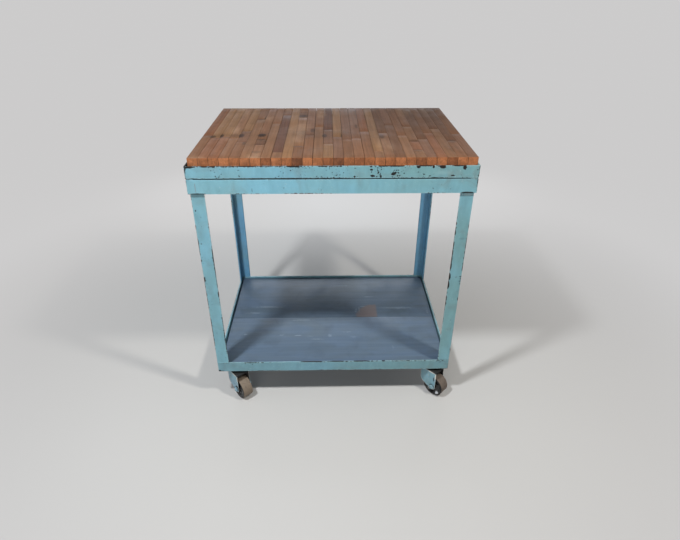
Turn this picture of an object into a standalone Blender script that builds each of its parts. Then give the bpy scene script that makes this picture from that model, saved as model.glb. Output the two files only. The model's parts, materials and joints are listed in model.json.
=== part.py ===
"""Rolling kitchen island cart, modelled for Blender 4.5.

A reclaimed butcher block lies in a tray of steel angle. The tray is stitch-welded on top of a second angle
frame, which caps four angle legs. The legs stand on a shelf frame that holds two boards, and a swivel caster
is welded under each corner of the shelf frame.

Run it with: blender --background --python part.py
Units are metres and +Z is up. The cart faces -Y, and its origin is on the floor under its middle.
"""

import math

import bmesh
import bpy
from mathutils import Matrix

# Overall sizes.
WORK_HEIGHT = 0.8636  # floor to the work surface
FRAME_WIDTH = 0.7874  # across the outer faces of the legs, along X
FRAME_DEPTH = 0.5588  # across the outer faces of the legs, along Y

# Rolled steel angle, the stock of every rail and leg.
ANGLE_SIDE = 0.0381
TRAY_UPRIGHT = 0.0352  # the tray's upright flange, dressed down all round
TOP_RAIL_UPRIGHT = 0.0410  # the top rail's hanging flange
ANGLE_WALL = 0.00476
ANGLE_HEEL_RADIUS = 0.0008
ANGLE_TOE_RADIUS = 0.0018
ANGLE_ROOT_RADIUS = 0.0030

# Fits between neighbours.
TOUCH_GAP = 0.0003  # between two pieces that touch
RUNNING_GAP = 0.0003  # round a shaft that turns
SIDE_PLAY = 0.0003  # at each end of a piece held between two cheeks

# Butcher block.
BLOCK_THICKNESS = 0.0515
BLOCK_END_GAP = 0.0010  # front and back, to the tray's flange
BLOCK_LEFT_GAP = 0.0048
BLOCK_RIGHT_GAP = 0.0012
BLOCK_TOP_EASE = 0.0010
UNDERSIDE_EASE = 0.0040  # clears the root fillet of the angle

# Welds between the tray and the top frame.
SLOT_HEIGHT = 0.0028  # open slot between the two frames
STITCH_LENGTH = 0.0060
END_WELD_LENGTH = 0.0150
STITCH_PITCH = 0.1800
STITCH_DEPTH = 0.0040
STITCH_SINK = 0.0010  # how far the weld metal runs into the rail below

# Shelf boards.
BOARD_THICKNESS = 0.0270
BOARD_END_GAP_LEFT = 0.0062
BOARD_END_GAP_RIGHT = 0.0046
BOARD_FRONT_GAP = 0.0020
BOARD_BACK_GAP = 0.0020
BOARD_JOINT_GAP = 0.0012
FRONT_BOARD_SHARE = 0.4700  # of the shelf's inside depth
BOARD_EASE = 0.0010

# Casters.
CASTER_HEIGHT = 0.1115  # floor to the top of the mounting plate
PIN_INSET_X = 0.0538  # kingpin axis to the side face of the shelf frame
PIN_INSET_Y = 0.0290  # kingpin axis to the front or back face of the shelf frame
PLATE_LENGTH = 0.0920
PLATE_WIDTH = 0.0500
PLATE_THICKNESS = 0.0032
PLATE_CORNER_RADIUS = 0.0070
KINGPIN_RADIUS = 0.0060
KINGPIN_HEAD_RADIUS = 0.0105
KINGPIN_HEAD_HEIGHT = 0.0040
RACE_RADIUS = 0.0145  # circle through the middle of the bearing balls
RACE_BALL_RADIUS = 0.0020
RACE_BOSS_RADIUS = 0.0180
RACE_BOSS_DROP = 0.0016
RACE_CUP_CLEARANCE = 0.0010
RACE_CUP_WALL = 0.0022
RACE_CUP_BELOW_PLATE = 0.0012
TRAIL = 0.0300  # kingpin axis to wheel axle, seen from above
FORK_SHEET = 0.0032
FORK_BEND_RADIUS = 0.0050
FORK_BACK = 0.0200  # crown behind the kingpin
FORK_FRONT = 0.0420  # crown ahead of the kingpin
FORK_BACK_RUN = 0.0370  # straight run down the back edge before it curves to the axle
FORK_SHOULDER_RADIUS = 0.0250
FORK_BOSS_RADIUS = 0.0125

# Wheels.
WHEEL_RADIUS = 0.0380
WHEEL_WIDTH = 0.0360
TREAD_THICKNESS = 0.0042
TREAD_SHOULDER_RADIUS = 0.0014
HUB_WIDTH = 0.0384
HUB_RADIUS = 0.0110
HUB_SIDE_CLEARANCE = 0.0008
RIM_DEPTH = 0.0050  # radial thickness of the core's rim
RIM_SIDE_STEP = 0.0006  # rim faces stand this far inside the tread's faces
WEB_THICKNESS = 0.0160
AXLE_RADIUS = 0.00475
SLEEVE_WALL = 0.0015
AXLE_HEX_ACROSS_FLATS = 0.0143
BOLT_HEAD_HEIGHT = 0.0055
NUT_HEIGHT = 0.0075
BOLT_END_LENGTH = 0.0020  # thread that stands out of the nut

# Facets round each turned shape.
WHEEL_SEGMENTS = 40
SHAFT_SEGMENTS = 20
RACE_SEGMENTS = 24
BALL_RING_SEGMENTS = 8

# Corner name: (side along X, side along Y, heading of the caster's trail in degrees from +X).
CORNERS = {
    "front_left": (-1, -1, -50.0),
    "front_right": (1, -1, -46.0),
    "back_right": (1, 1, 130.0),
    "back_left": (-1, 1, 134.0),
}

# Side of a frame: (quarter turns from the front, unit offset of that side).
SIDES = {
    "front": (0, (0, -1)),
    "right": (1, (1, 0)),
    "back": (2, (0, 1)),
    "left": (3, (-1, 0)),
}

# Finish: (base colour, roughness, metallic).
FINISHES = {
    "turquoise_paint": ((0.210, 0.420, 0.480), 0.45, 0.0),
    "shelf_paint": ((0.130, 0.190, 0.250), 0.60, 0.0),
    "maple_block": ((0.330, 0.170, 0.080), 0.50, 0.0),
    "bare_steel": ((0.300, 0.290, 0.280), 0.40, 1.0),
    "black_core": ((0.012, 0.012, 0.013), 0.25, 0.0),
    "tan_tread": ((0.330, 0.270, 0.200), 0.60, 0.0),
}

# Heights that follow from the sizes above, from the floor up.
SHELF_BOTTOM = CASTER_HEIGHT + TOUCH_GAP
SHELF_RAIL_TOP = SHELF_BOTTOM + ANGLE_SIDE
BOARD_BOTTOM = SHELF_BOTTOM + ANGLE_WALL + TOUCH_GAP
BLOCK_BOTTOM = WORK_HEIGHT - BLOCK_THICKNESS
TRAY_BOTTOM = BLOCK_BOTTOM - TOUCH_GAP - ANGLE_WALL
TOP_FRAME_TOP = TRAY_BOTTOM - SLOT_HEIGHT
LEG_BOTTOM = SHELF_RAIL_TOP + TOUCH_GAP
LEG_TOP = TOP_FRAME_TOP - ANGLE_WALL - ANGLE_ROOT_RADIUS - TOUCH_GAP

# The top frames fit outside the legs, and the block fits inside the tray.
TOP_WIDTH = FRAME_WIDTH + 2 * (ANGLE_WALL + TOUCH_GAP)
TOP_DEPTH = FRAME_DEPTH + 2 * (ANGLE_WALL + TOUCH_GAP)
TRAY_INSIDE_WIDTH = TOP_WIDTH - 2 * ANGLE_WALL
TRAY_INSIDE_DEPTH = TOP_DEPTH - 2 * ANGLE_WALL
SHELF_INSIDE_WIDTH = FRAME_WIDTH - 2 * ANGLE_WALL
SHELF_INSIDE_DEPTH = FRAME_DEPTH - 2 * ANGLE_WALL

# Caster heights and widths.
PLATE_BOTTOM = CASTER_HEIGHT - PLATE_THICKNESS
RACE_BOSS_BOTTOM = PLATE_BOTTOM - RACE_BOSS_DROP
RACE_CENTRE = RACE_BOSS_BOTTOM - TOUCH_GAP - RACE_BALL_RADIUS
CROWN_TOP = RACE_CENTRE - RACE_BALL_RADIUS - TOUCH_GAP
CROWN_BOTTOM = CROWN_TOP - FORK_SHEET
CUP_INSIDE_RADIUS = RACE_BOSS_RADIUS + RACE_CUP_CLEARANCE
CUP_TOP = PLATE_BOTTOM - RACE_CUP_BELOW_PLATE
FORK_INSIDE = HUB_WIDTH + 2 * HUB_SIDE_CLEARANCE
FORK_OUTSIDE = FORK_INSIDE + 2 * FORK_SHEET
SLEEVE_INSIDE_RADIUS = AXLE_RADIUS + TOUCH_GAP
SLEEVE_RADIUS = SLEEVE_INSIDE_RADIUS + SLEEVE_WALL
CORE_RADIUS = WHEEL_RADIUS - TREAD_THICKNESS
CORE_BORE = SLEEVE_RADIUS + RUNNING_GAP


def clear_scene():
    for old in list(bpy.data.objects):
        bpy.data.objects.remove(old)


def make_finish(name):
    """Principled material with one plain finish."""
    colour, roughness, metallic = FINISHES[name]
    finish = bpy.data.materials.new(name)
    finish.use_nodes = True
    shader = finish.node_tree.nodes["Principled BSDF"]
    shader.inputs["Base Color"].default_value = (*colour, 1.0)
    shader.inputs["Roughness"].default_value = roughness
    shader.inputs["Metallic"].default_value = metallic
    return finish


def arc(centre_x, centre_y, radius, start, end, steps):
    """Points along an arc, with its angles in degrees."""
    points = []
    for step in range(steps + 1):
        angle = math.radians(start + (end - start) * step / steps)
        points.append((centre_x + radius * math.cos(angle), centre_y + radius * math.sin(angle)))
    return points


def rounded_rectangle(length, width, radius, steps=3):
    """Outline of a plate centred on the origin."""
    reach_x = length / 2 - radius
    reach_y = width / 2 - radius
    outline = []
    for quarter, (side_x, side_y) in enumerate(((1, 1), (-1, 1), (-1, -1), (1, -1))):
        start = 90 * quarter
        outline += arc(side_x * reach_x, side_y * reach_y, radius, start, start + 90, steps)
    return outline


def angle_section(upright):
    """Outline of the rolled angle, its heel at the origin and its upright flange along the second axis."""
    heel = ANGLE_HEEL_RADIUS
    toe = ANGLE_TOE_RADIUS
    root_centre = ANGLE_WALL + ANGLE_ROOT_RADIUS
    outline = arc(heel, heel, heel, 180, 270, 2)
    outline.append((ANGLE_SIDE, 0.0))
    outline += arc(ANGLE_SIDE - toe, ANGLE_WALL - toe, toe, 0, 90, 3)
    outline += arc(root_centre, root_centre, ANGLE_ROOT_RADIUS, 270, 180, 3)
    outline += arc(ANGLE_WALL - toe, upright - toe, toe, 0, 90, 3)
    outline.append((0.0, upright))
    return outline


def prism(outline, low, high):
    """Closed solid with a flat outline in XY, from height low to height high."""
    solid = bmesh.new()
    corners = [solid.verts.new((x, y, low)) for x, y in outline]
    base = solid.faces.new(corners)
    grown = bmesh.ops.extrude_face_region(solid, geom=[base])
    raised = [item for item in grown["geom"] if isinstance(item, bmesh.types.BMVert)]
    bmesh.ops.translate(solid, vec=(0, 0, high - low), verts=raised)
    bmesh.ops.recalc_face_normals(solid, faces=solid.faces)
    return solid


def turned(profile, segments):
    """Solid turned about Z from a closed profile of (radius, height) points."""
    solid = bmesh.new()
    points = [solid.verts.new((radius, 0, height)) for radius, height in profile]
    edges = []
    for index, point in enumerate(points):
        following = points[(index + 1) % len(points)]
        on_axis = profile[index][0] == 0 and profile[(index + 1) % len(points)][0] == 0
        if not on_axis:
            edges.append(solid.edges.new((point, following)))
    bmesh.ops.spin(
        solid,
        geom=points + edges,
        cent=(0, 0, 0),
        axis=(0, 0, 1),
        angle=math.tau,
        steps=segments,
        use_merge=True,
    )
    bmesh.ops.remove_doubles(solid, verts=solid.verts, dist=1e-6)
    bmesh.ops.recalc_face_normals(solid, faces=solid.faces)
    return solid


def cylinder(radius, low, high, segments=SHAFT_SEGMENTS):
    return turned([(0, low), (radius, low), (radius, high), (0, high)], segments)


def tube(inner, outer, low, high, segments=SHAFT_SEGMENTS):
    return turned([(inner, low), (outer, low), (outer, high), (inner, high)], segments)


def box(low, high):
    """Closed box between two opposite corners."""
    solid = bmesh.new()
    size = [top - bottom for bottom, top in zip(low, high)]
    middle = [(bottom + top) / 2 for bottom, top in zip(low, high)]
    bmesh.ops.create_cube(solid, size=1.0, matrix=Matrix.Translation(middle) @ Matrix.Diagonal((*size, 1.0)))
    return solid


def to_mesh(solid, name):
    """Mesh data from a bmesh, with round surfaces smooth and true edges sharp."""
    mesh = bpy.data.meshes.new(name)
    solid.to_mesh(mesh)
    solid.free()
    mesh.shade_smooth()
    mesh.set_sharp_from_angle(angle=math.radians(30))
    return mesh


def combine(base, other, operation):
    """One exact Boolean between two solids, which it uses up."""
    pair = []
    for role, solid in (("base", base), ("other", other)):
        mesh = bpy.data.meshes.new(role)
        solid.to_mesh(mesh)
        solid.free()
        helper = bpy.data.objects.new(role, mesh)
        bpy.context.scene.collection.objects.link(helper)
        pair.append(helper)
    modifier = pair[0].modifiers.new("combine", "BOOLEAN")
    modifier.solver = "EXACT"
    modifier.operation = operation
    modifier.object = pair[1]
    graph = bpy.context.evaluated_depsgraph_get()
    result = bmesh.new()
    result.from_object(pair[0], graph)
    for helper in pair:
        bpy.data.objects.remove(helper)
    return result


def reshape(solid, matrix):
    """Moves a solid by a matrix, and keeps its faces pointing out if the matrix mirrors it."""
    bmesh.ops.transform(solid, matrix=matrix, verts=solid.verts)
    bmesh.ops.recalc_face_normals(solid, faces=solid.faces)
    return solid


def place(name, mesh, finish, location=(0, 0, 0), turn=0.0, parent=None):
    """Object with its own place, a turn about Z in radians and a finish."""
    obj = bpy.data.objects.new(name, mesh)
    if not mesh.materials:
        mesh.materials.append(finish)
    obj.location = location
    obj.rotation_euler = (0, 0, turn)
    obj.parent = parent
    bpy.context.scene.collection.objects.link(obj)
    return obj


def pivot(name, location, turn=0.0, parent=None):
    """Empty on a joint's axis."""
    empty = bpy.data.objects.new(name, None)
    empty.empty_display_size = WHEEL_RADIUS
    empty.location = location
    empty.rotation_euler = (0, 0, turn)
    empty.parent = parent
    bpy.context.scene.collection.objects.link(empty)
    return empty


def mitred_rail(length, upright, rise):
    """Angle rail along X with its heel on the origin's line, one flange inward (+Y) and mitred ends.

    The upright flange stands up from the heel when rise is 1 and hangs from it when rise is -1.
    """
    rail = prism(angle_section(upright), -length / 2, length / 2)
    axes = Matrix(((0, 0, 1, 0), (1, 0, 0, 0), (0, rise, 0, 0), (0, 0, 0, 1)))
    reshape(rail, axes)
    for point in rail.verts:
        reach = length / 2 - point.co.y - TOUCH_GAP / 2
        point.co.x = math.copysign(reach, point.co.x)
    return rail


def stitch_spans(length):
    """Start and end along X of each weld in the slot over a rail: one at each end, stitches between."""
    outer = length / 2 - STITCH_DEPTH - 2 * TOUCH_GAP
    spans = [(outer - END_WELD_LENGTH, outer), (-outer, END_WELD_LENGTH - outer)]
    count = max(1, round((2 * outer - END_WELD_LENGTH) / STITCH_PITCH) - 1)
    for index in range(count):
        middle = (index - (count - 1) / 2) * STITCH_PITCH
        spans.append((middle - STITCH_LENGTH / 2, middle + STITCH_LENGTH / 2))
    return spans


def tray_rail(length):
    return mitred_rail(length, TRAY_UPRIGHT, 1)


def shelf_rail(length):
    return mitred_rail(length, ANGLE_SIDE, 1)


def top_rail(length):
    """Top rail with the weld metal that joins it to the tray standing on its upper face."""
    rail = mitred_rail(length, TOP_RAIL_UPRIGHT, -1)
    for start, end in stitch_spans(length):
        low = (start, ANGLE_HEEL_RADIUS, -STITCH_SINK)
        high = (end, STITCH_DEPTH, SLOT_HEIGHT - TOUCH_GAP)
        rail = combine(rail, box(low, high), "UNION")
    return rail


def make_frame(prefix, width, depth, height, rail, finish):
    """Four mitred rails, all made by the same rail function."""
    for side, (quarters, (offset_x, offset_y)) in SIDES.items():
        length = width if offset_x == 0 else depth
        mesh = to_mesh(rail(length), f"{prefix}_{side}")
        location = (offset_x * width / 2, offset_y * depth / 2, height)
        place(f"{prefix}_{side}", mesh, finish, location, quarters * math.pi / 2)


def make_legs(finish):
    """Four angle legs, each with its heel at an outer corner and its flanges running inward."""
    mesh = to_mesh(prism(angle_section(ANGLE_SIDE), 0, LEG_TOP - LEG_BOTTOM), "leg")
    turns = {"front_left": 0, "front_right": 1, "back_right": 2, "back_left": 3}
    for corner, (side_x, side_y, _) in CORNERS.items():
        location = (side_x * FRAME_WIDTH / 2, side_y * FRAME_DEPTH / 2, LEG_BOTTOM)
        place(f"leg_{corner}", mesh, finish, location, turns[corner] * math.pi / 2)


def eased_slab(low, high, top_ease, bottom_ease):
    """Box with small arrises on top and wider ones underneath, where it clears the angle's root."""
    slab = box(low, high)
    middle = (low[2] + high[2]) / 2
    above = [edge for edge in slab.edges if all(point.co.z > middle for point in edge.verts)]
    bmesh.ops.bevel(slab, geom=above, offset=top_ease, segments=2, profile=0.5, affect="EDGES")
    floor_height = low[2] + bottom_ease / 2
    below = [edge for edge in slab.edges if all(point.co.z < floor_height for point in edge.verts)]
    bmesh.ops.bevel(slab, geom=below, offset=bottom_ease, segments=1, profile=0.5, affect="EDGES")
    bmesh.ops.recalc_face_normals(slab, faces=slab.faces)
    return slab


def make_block(finish):
    """Butcher block, lying in the tray and standing above its flanges."""
    half_width = TRAY_INSIDE_WIDTH / 2
    half_depth = TRAY_INSIDE_DEPTH / 2
    low = (BLOCK_LEFT_GAP - half_width, BLOCK_END_GAP - half_depth, BLOCK_BOTTOM)
    high = (half_width - BLOCK_RIGHT_GAP, half_depth - BLOCK_END_GAP, WORK_HEIGHT)
    slab = eased_slab(low, high, BLOCK_TOP_EASE, UNDERSIDE_EASE)
    place("butcher_block", to_mesh(slab, "butcher_block"), finish)


def make_boards(finish):
    """Two shelf boards side by side, lying on the shelf frame's inward flanges."""
    half_width = SHELF_INSIDE_WIDTH / 2
    half_depth = SHELF_INSIDE_DEPTH / 2
    joint = FRONT_BOARD_SHARE * SHELF_INSIDE_DEPTH - half_depth
    left = BOARD_END_GAP_LEFT - half_width
    right = half_width - BOARD_END_GAP_RIGHT
    spans = {
        "shelf_board_front": (BOARD_FRONT_GAP - half_depth, joint - BOARD_JOINT_GAP / 2),
        "shelf_board_back": (joint + BOARD_JOINT_GAP / 2, half_depth - BOARD_BACK_GAP),
    }
    for name, (near, far) in spans.items():
        low = (left, near, BOARD_BOTTOM)
        high = (right, far, BOARD_BOTTOM + BOARD_THICKNESS)
        place(name, to_mesh(eased_slab(low, high, BOARD_EASE, UNDERSIDE_EASE), name), finish)


def caster_plate_solid():
    """Mounting plate with the boss that bears on the balls, bored for the kingpin."""
    outline = rounded_rectangle(PLATE_LENGTH, PLATE_WIDTH, PLATE_CORNER_RADIUS)
    plate = prism(outline, PLATE_BOTTOM, CASTER_HEIGHT)
    boss = cylinder(RACE_BOSS_RADIUS, RACE_BOSS_BOTTOM, PLATE_BOTTOM + PLATE_THICKNESS / 2, RACE_SEGMENTS)
    plate = combine(plate, boss, "UNION")
    bore = cylinder(KINGPIN_RADIUS + TOUCH_GAP, CROWN_BOTTOM, CASTER_HEIGHT + PLATE_THICKNESS)
    return combine(plate, bore, "DIFFERENCE")


def kingpin_solid():
    """Rivet through the plate and the fork's crown, with its head under the crown."""
    head_top = CROWN_BOTTOM - RUNNING_GAP
    head_bottom = head_top - KINGPIN_HEAD_HEIGHT
    ease = KINGPIN_HEAD_HEIGHT / 3
    profile = [
        (0, head_bottom),
        (KINGPIN_HEAD_RADIUS - ease, head_bottom),
        (KINGPIN_HEAD_RADIUS, head_bottom + ease),
        (KINGPIN_HEAD_RADIUS, head_top),
        (KINGPIN_RADIUS, head_top),
        (KINGPIN_RADIUS, CASTER_HEIGHT),
        (0, CASTER_HEIGHT),
    ]
    return turned(profile, SHAFT_SEGMENTS)


def race_solid():
    """Ring that stands for the bearing balls between the plate's boss and the fork's crown."""
    outline = arc(RACE_RADIUS, RACE_CENTRE, RACE_BALL_RADIUS, 0, 360, BALL_RING_SEGMENTS)
    return turned(outline[:-1], RACE_SEGMENTS)


def tangent_angle(from_x, from_y, centre_x, centre_y, radius):
    """Angle in degrees at which a line from a point above a circle touches its right-hand side."""
    heading = math.atan2(from_y - centre_y, from_x - centre_x)
    distance = math.hypot(from_x - centre_x, from_y - centre_y)
    return math.degrees(heading - math.acos(radius / distance))


def common_tangent_angle(first, second):
    """Angle in degrees, from 180 to 360, at which one line touches two circles from below."""
    heading = math.atan2(second[1] - first[1], second[0] - first[0])
    distance = math.hypot(second[0] - first[0], second[1] - first[1])
    return 360 + math.degrees(heading - math.acos((first[2] - second[2]) / distance))


def fork_side_outline():
    """Side view of the fork: crown on top, legs that taper to the axle. First value along the trail."""
    front = (FORK_FRONT, CROWN_BOTTOM)
    shoulder = (FORK_SHOULDER_RADIUS - FORK_BACK, CROWN_BOTTOM - FORK_BACK_RUN, FORK_SHOULDER_RADIUS)
    boss = (TRAIL, WHEEL_RADIUS, FORK_BOSS_RADIUS)
    back_touch = common_tangent_angle(shoulder, boss)
    front_touch = tangent_angle(*front, *boss)
    outline = [(FORK_FRONT, CROWN_TOP), (-FORK_BACK, CROWN_TOP)]
    outline += arc(*shoulder, 180, back_touch, 5)
    outline += arc(*boss, back_touch, front_touch + 360, 10)
    outline.append(front)
    return outline


def fork_end_outline():
    """End view of the fork: an upside-down U of bent sheet. First value along the axle."""
    low = WHEEL_RADIUS - 2 * FORK_BOSS_RADIUS
    outer = FORK_OUTSIDE / 2
    inner = FORK_INSIDE / 2
    bend = FORK_BEND_RADIUS
    inside_bend = bend - FORK_SHEET
    outline = [(outer, low)]
    outline += arc(outer - bend, CROWN_TOP - bend, bend, 0, 90, 4)
    outline += arc(bend - outer, CROWN_TOP - bend, bend, 90, 180, 4)
    outline += [(-outer, low), (-inner, low)]
    outline += arc(inside_bend - inner, CROWN_BOTTOM - inside_bend, inside_bend, 180, 90, 3)
    outline += arc(inner - inside_bend, CROWN_BOTTOM - inside_bend, inside_bend, 90, 0, 3)
    outline.append((inner, low))
    return outline


def fork_solid():
    """Bent-sheet fork with a race cup on its crown, holed for the kingpin and the axle."""
    reach = FORK_BACK + FORK_FRONT + TRAIL + FORK_BOSS_RADIUS
    along_axle = Matrix(((1, 0, 0, 0), (0, 0, 1, 0), (0, 1, 0, 0), (0, 0, 0, 1)))
    along_trail = Matrix(((0, 0, 1, 0), (1, 0, 0, 0), (0, 1, 0, 0), (0, 0, 0, 1)))
    side = reshape(prism(fork_side_outline(), -FORK_OUTSIDE, FORK_OUTSIDE), along_axle)
    end = reshape(prism(fork_end_outline(), -reach, reach), along_trail)
    fork = combine(end, side, "INTERSECT")
    cup_foot = CROWN_TOP - FORK_SHEET / 2
    cup = tube(CUP_INSIDE_RADIUS, CUP_INSIDE_RADIUS + RACE_CUP_WALL, cup_foot, CUP_TOP, RACE_SEGMENTS)
    fork = combine(fork, cup, "UNION")
    pin_hole = cylinder(KINGPIN_RADIUS + RUNNING_GAP, CROWN_BOTTOM - FORK_SHEET, CROWN_TOP + FORK_SHEET)
    fork = combine(fork, pin_hole, "DIFFERENCE")
    axle_hole = cylinder(AXLE_RADIUS + TOUCH_GAP, -FORK_OUTSIDE, FORK_OUTSIDE)
    reshape(axle_hole, Matrix.Translation((TRAIL, 0, WHEEL_RADIUS)) @ along_axle)
    return combine(fork, axle_hole, "DIFFERENCE")


def across(solid):
    """Turns a solid made about Z so that it lies about Y, its top towards +Y."""
    return reshape(solid, Matrix.Rotation(-math.pi / 2, 4, "X"))


def hexagon(low, high):
    """Hexagonal prism about Z with the axle's spanner size."""
    corner_radius = AXLE_HEX_ACROSS_FLATS / math.sqrt(3)
    return prism(arc(0, 0, corner_radius, 0, 300, 5), low, high)


def axle_bolt_solid():
    """Hexagon-headed bolt through both legs of the fork, its head on the -Y side."""
    head_seat = -FORK_OUTSIDE / 2 - TOUCH_GAP
    shank_end = FORK_OUTSIDE / 2 + TOUCH_GAP + NUT_HEIGHT + BOLT_END_LENGTH
    head = hexagon(head_seat - BOLT_HEAD_HEIGHT, head_seat)
    shank = cylinder(AXLE_RADIUS, head_seat - BOLT_HEAD_HEIGHT / 2, shank_end)
    return across(combine(head, shank, "UNION"))


def axle_nut_solid():
    seat = FORK_OUTSIDE / 2 + TOUCH_GAP
    bore = cylinder(AXLE_RADIUS + TOUCH_GAP, 0, seat + 2 * NUT_HEIGHT)
    return across(combine(hexagon(seat, seat + NUT_HEIGHT), bore, "DIFFERENCE"))


def axle_sleeve_solid():
    """Spacer clamped between the fork's legs, on which the wheel turns."""
    half = FORK_INSIDE / 2 - SIDE_PLAY
    return across(tube(SLEEVE_INSIDE_RADIUS, SLEEVE_RADIUS, -half, half))


def wheel_core_solid():
    """Moulded core: hub, dished web and rim, turned about the axle."""
    rim_inside = CORE_RADIUS - RIM_DEPTH
    rim_half = WHEEL_WIDTH / 2 - RIM_SIDE_STEP
    web_half = WEB_THICKNESS / 2
    slope = (rim_inside - HUB_RADIUS) / 8
    half_profile = [
        (CORE_BORE, HUB_WIDTH / 2),
        (HUB_RADIUS, HUB_WIDTH / 2),
        (HUB_RADIUS + slope, web_half),
        (rim_inside - slope, web_half),
        (rim_inside, rim_half),
        (CORE_RADIUS, rim_half),
    ]
    other_half = [(radius, -height) for radius, height in reversed(half_profile)]
    return across(turned(half_profile + other_half, WHEEL_SEGMENTS))


def tyre_solid():
    """Flat tread band round the core, with small rounded shoulders."""
    half = WHEEL_WIDTH / 2
    shoulder = TREAD_SHOULDER_RADIUS
    inner = CORE_RADIUS + TOUCH_GAP
    profile = [(inner, -half)]
    profile += arc(WHEEL_RADIUS - shoulder, shoulder - half, shoulder, -90, 0, 2)
    profile += arc(WHEEL_RADIUS - shoulder, half - shoulder, shoulder, 0, 90, 2)
    profile.append((inner, half))
    return across(turned(profile, WHEEL_SEGMENTS))


def make_casters(finishes):
    """Four casters. Each swivel pivot is on its kingpin's axis, and each wheel pivot on its axle."""
    paint = finishes["turquoise_paint"]
    steel = finishes["bare_steel"]
    fixed = {
        "caster_plate": (caster_plate_solid, paint),
        "kingpin": (kingpin_solid, steel),
    }
    swivelling = {
        "swivel_race": (race_solid, steel),
        "fork": (fork_solid, paint),
    }
    on_axle = {
        "axle_bolt": (axle_bolt_solid, steel),
        "axle_nut": (axle_nut_solid, steel),
        "axle_sleeve": (axle_sleeve_solid, steel),
    }
    rolling = {
        "wheel_core": (wheel_core_solid, finishes["black_core"]),
        "tyre": (tyre_solid, finishes["tan_tread"]),
    }
    groups = [
        [(name, to_mesh(solid(), name), finish) for name, (solid, finish) in group.items()]
        for group in (fixed, swivelling, on_axle, rolling)
    ]
    for corner, (side_x, side_y, heading) in CORNERS.items():
        pin_x = side_x * (FRAME_WIDTH / 2 - PIN_INSET_X)
        pin_y = side_y * (FRAME_DEPTH / 2 - PIN_INSET_Y)
        post = pivot(f"caster_seat_{corner}", (pin_x, pin_y, 0))
        swivel = pivot(f"swivel_axis_{corner}", (0, 0, 0), math.radians(heading), post)
        axle = pivot(f"axle_axis_{corner}", (TRAIL, 0, WHEEL_RADIUS), 0.0, swivel)
        for parent, group in zip((post, swivel, axle, axle), groups):
            for name, mesh, finish in group:
                place(f"{name}_{corner}", mesh, finish, parent=parent)


def main():
    clear_scene()
    finishes = {name: make_finish(name) for name in FINISHES}
    paint = finishes["turquoise_paint"]
    make_block(finishes["maple_block"])
    make_frame("tray_rail", TOP_WIDTH, TOP_DEPTH, TRAY_BOTTOM, tray_rail, paint)
    make_frame("top_rail", TOP_WIDTH, TOP_DEPTH, TOP_FRAME_TOP, top_rail, paint)
    make_legs(paint)
    make_frame("shelf_rail", FRAME_WIDTH, FRAME_DEPTH, SHELF_BOTTOM, shelf_rail, paint)
    make_boards(finishes["shelf_paint"])
    make_casters(finishes)


main()
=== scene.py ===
"""Looks of a rolling kitchen island cart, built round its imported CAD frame.

A butcher block of upright staves lies in a welded steel tray on four angle legs. Under it are a shelf of
two washed boards and four swivel casters. Lengths are in metres, +Z is up, and the cart's front faces -Y.
"""

import json
import logging
import math
import random
from collections.abc import Sequence
from dataclasses import dataclass
from enum import Enum
from functools import cache
from typing import Any

import bmesh
import bpy
from mathutils import Matrix, Vector, noise


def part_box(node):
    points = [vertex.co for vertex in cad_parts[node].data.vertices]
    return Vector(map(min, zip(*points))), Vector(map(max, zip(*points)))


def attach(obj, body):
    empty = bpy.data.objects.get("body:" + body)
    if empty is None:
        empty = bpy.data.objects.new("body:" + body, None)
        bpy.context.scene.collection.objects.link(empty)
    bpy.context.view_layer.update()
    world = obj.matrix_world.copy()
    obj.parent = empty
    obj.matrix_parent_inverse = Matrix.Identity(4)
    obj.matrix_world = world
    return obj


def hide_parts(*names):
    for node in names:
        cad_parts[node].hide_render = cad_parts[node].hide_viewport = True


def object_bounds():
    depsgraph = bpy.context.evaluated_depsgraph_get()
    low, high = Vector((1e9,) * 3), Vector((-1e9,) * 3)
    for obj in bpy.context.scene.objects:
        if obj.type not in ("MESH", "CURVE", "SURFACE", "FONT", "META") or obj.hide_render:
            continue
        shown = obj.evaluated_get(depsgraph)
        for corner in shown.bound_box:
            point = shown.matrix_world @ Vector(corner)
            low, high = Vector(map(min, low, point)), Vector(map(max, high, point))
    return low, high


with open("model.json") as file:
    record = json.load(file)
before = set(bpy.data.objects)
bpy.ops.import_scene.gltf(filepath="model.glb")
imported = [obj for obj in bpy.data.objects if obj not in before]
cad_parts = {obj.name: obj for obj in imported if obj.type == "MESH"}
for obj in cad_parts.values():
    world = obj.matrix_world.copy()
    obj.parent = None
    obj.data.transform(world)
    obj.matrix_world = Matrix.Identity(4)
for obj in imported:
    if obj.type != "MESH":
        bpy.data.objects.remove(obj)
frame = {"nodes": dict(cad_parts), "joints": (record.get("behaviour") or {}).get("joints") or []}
CAD_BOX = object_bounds()

log = logging.getLogger("cart")

Colour = tuple[float, float, float, float]
Point = tuple[float, float, float]
Pair = tuple[float, float]
Row = tuple[float, float, float, float]  # one line of a list of marks
CORNERS = ("front_left", "front_right", "back_right", "back_left")
MERGE = 0.00001  # points of a CAD mesh nearer than this are one
SHARP = math.radians(40)  # CAD edges that turn more than this are eased


def shade(red: int, green: int, blue: int) -> Colour:
    """Turns a display colour into the linear one that the shaders take.

    Args:
        red: red, 0 to 255.
        green: green, 0 to 255.
        blue: blue, 0 to 255.

    Returns:
        The linear colour, with full alpha.
    """

    def linear(level: int) -> float:
        """Undoes the display curve for one channel."""
        part = level / 255
        return part / 12.92 if part <= 0.04045 else ((part + 0.055) / 1.055) ** 2.4

    return (linear(red), linear(green), linear(blue), 1.0)


# ---------------------------------------------------------------- wiring of shader trees


class Socket(Enum):
    """Kinds of socket that a shader group shows."""

    VALUE = "NodeSocketFloat"
    VECTOR = "NodeSocketVector"


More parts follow.
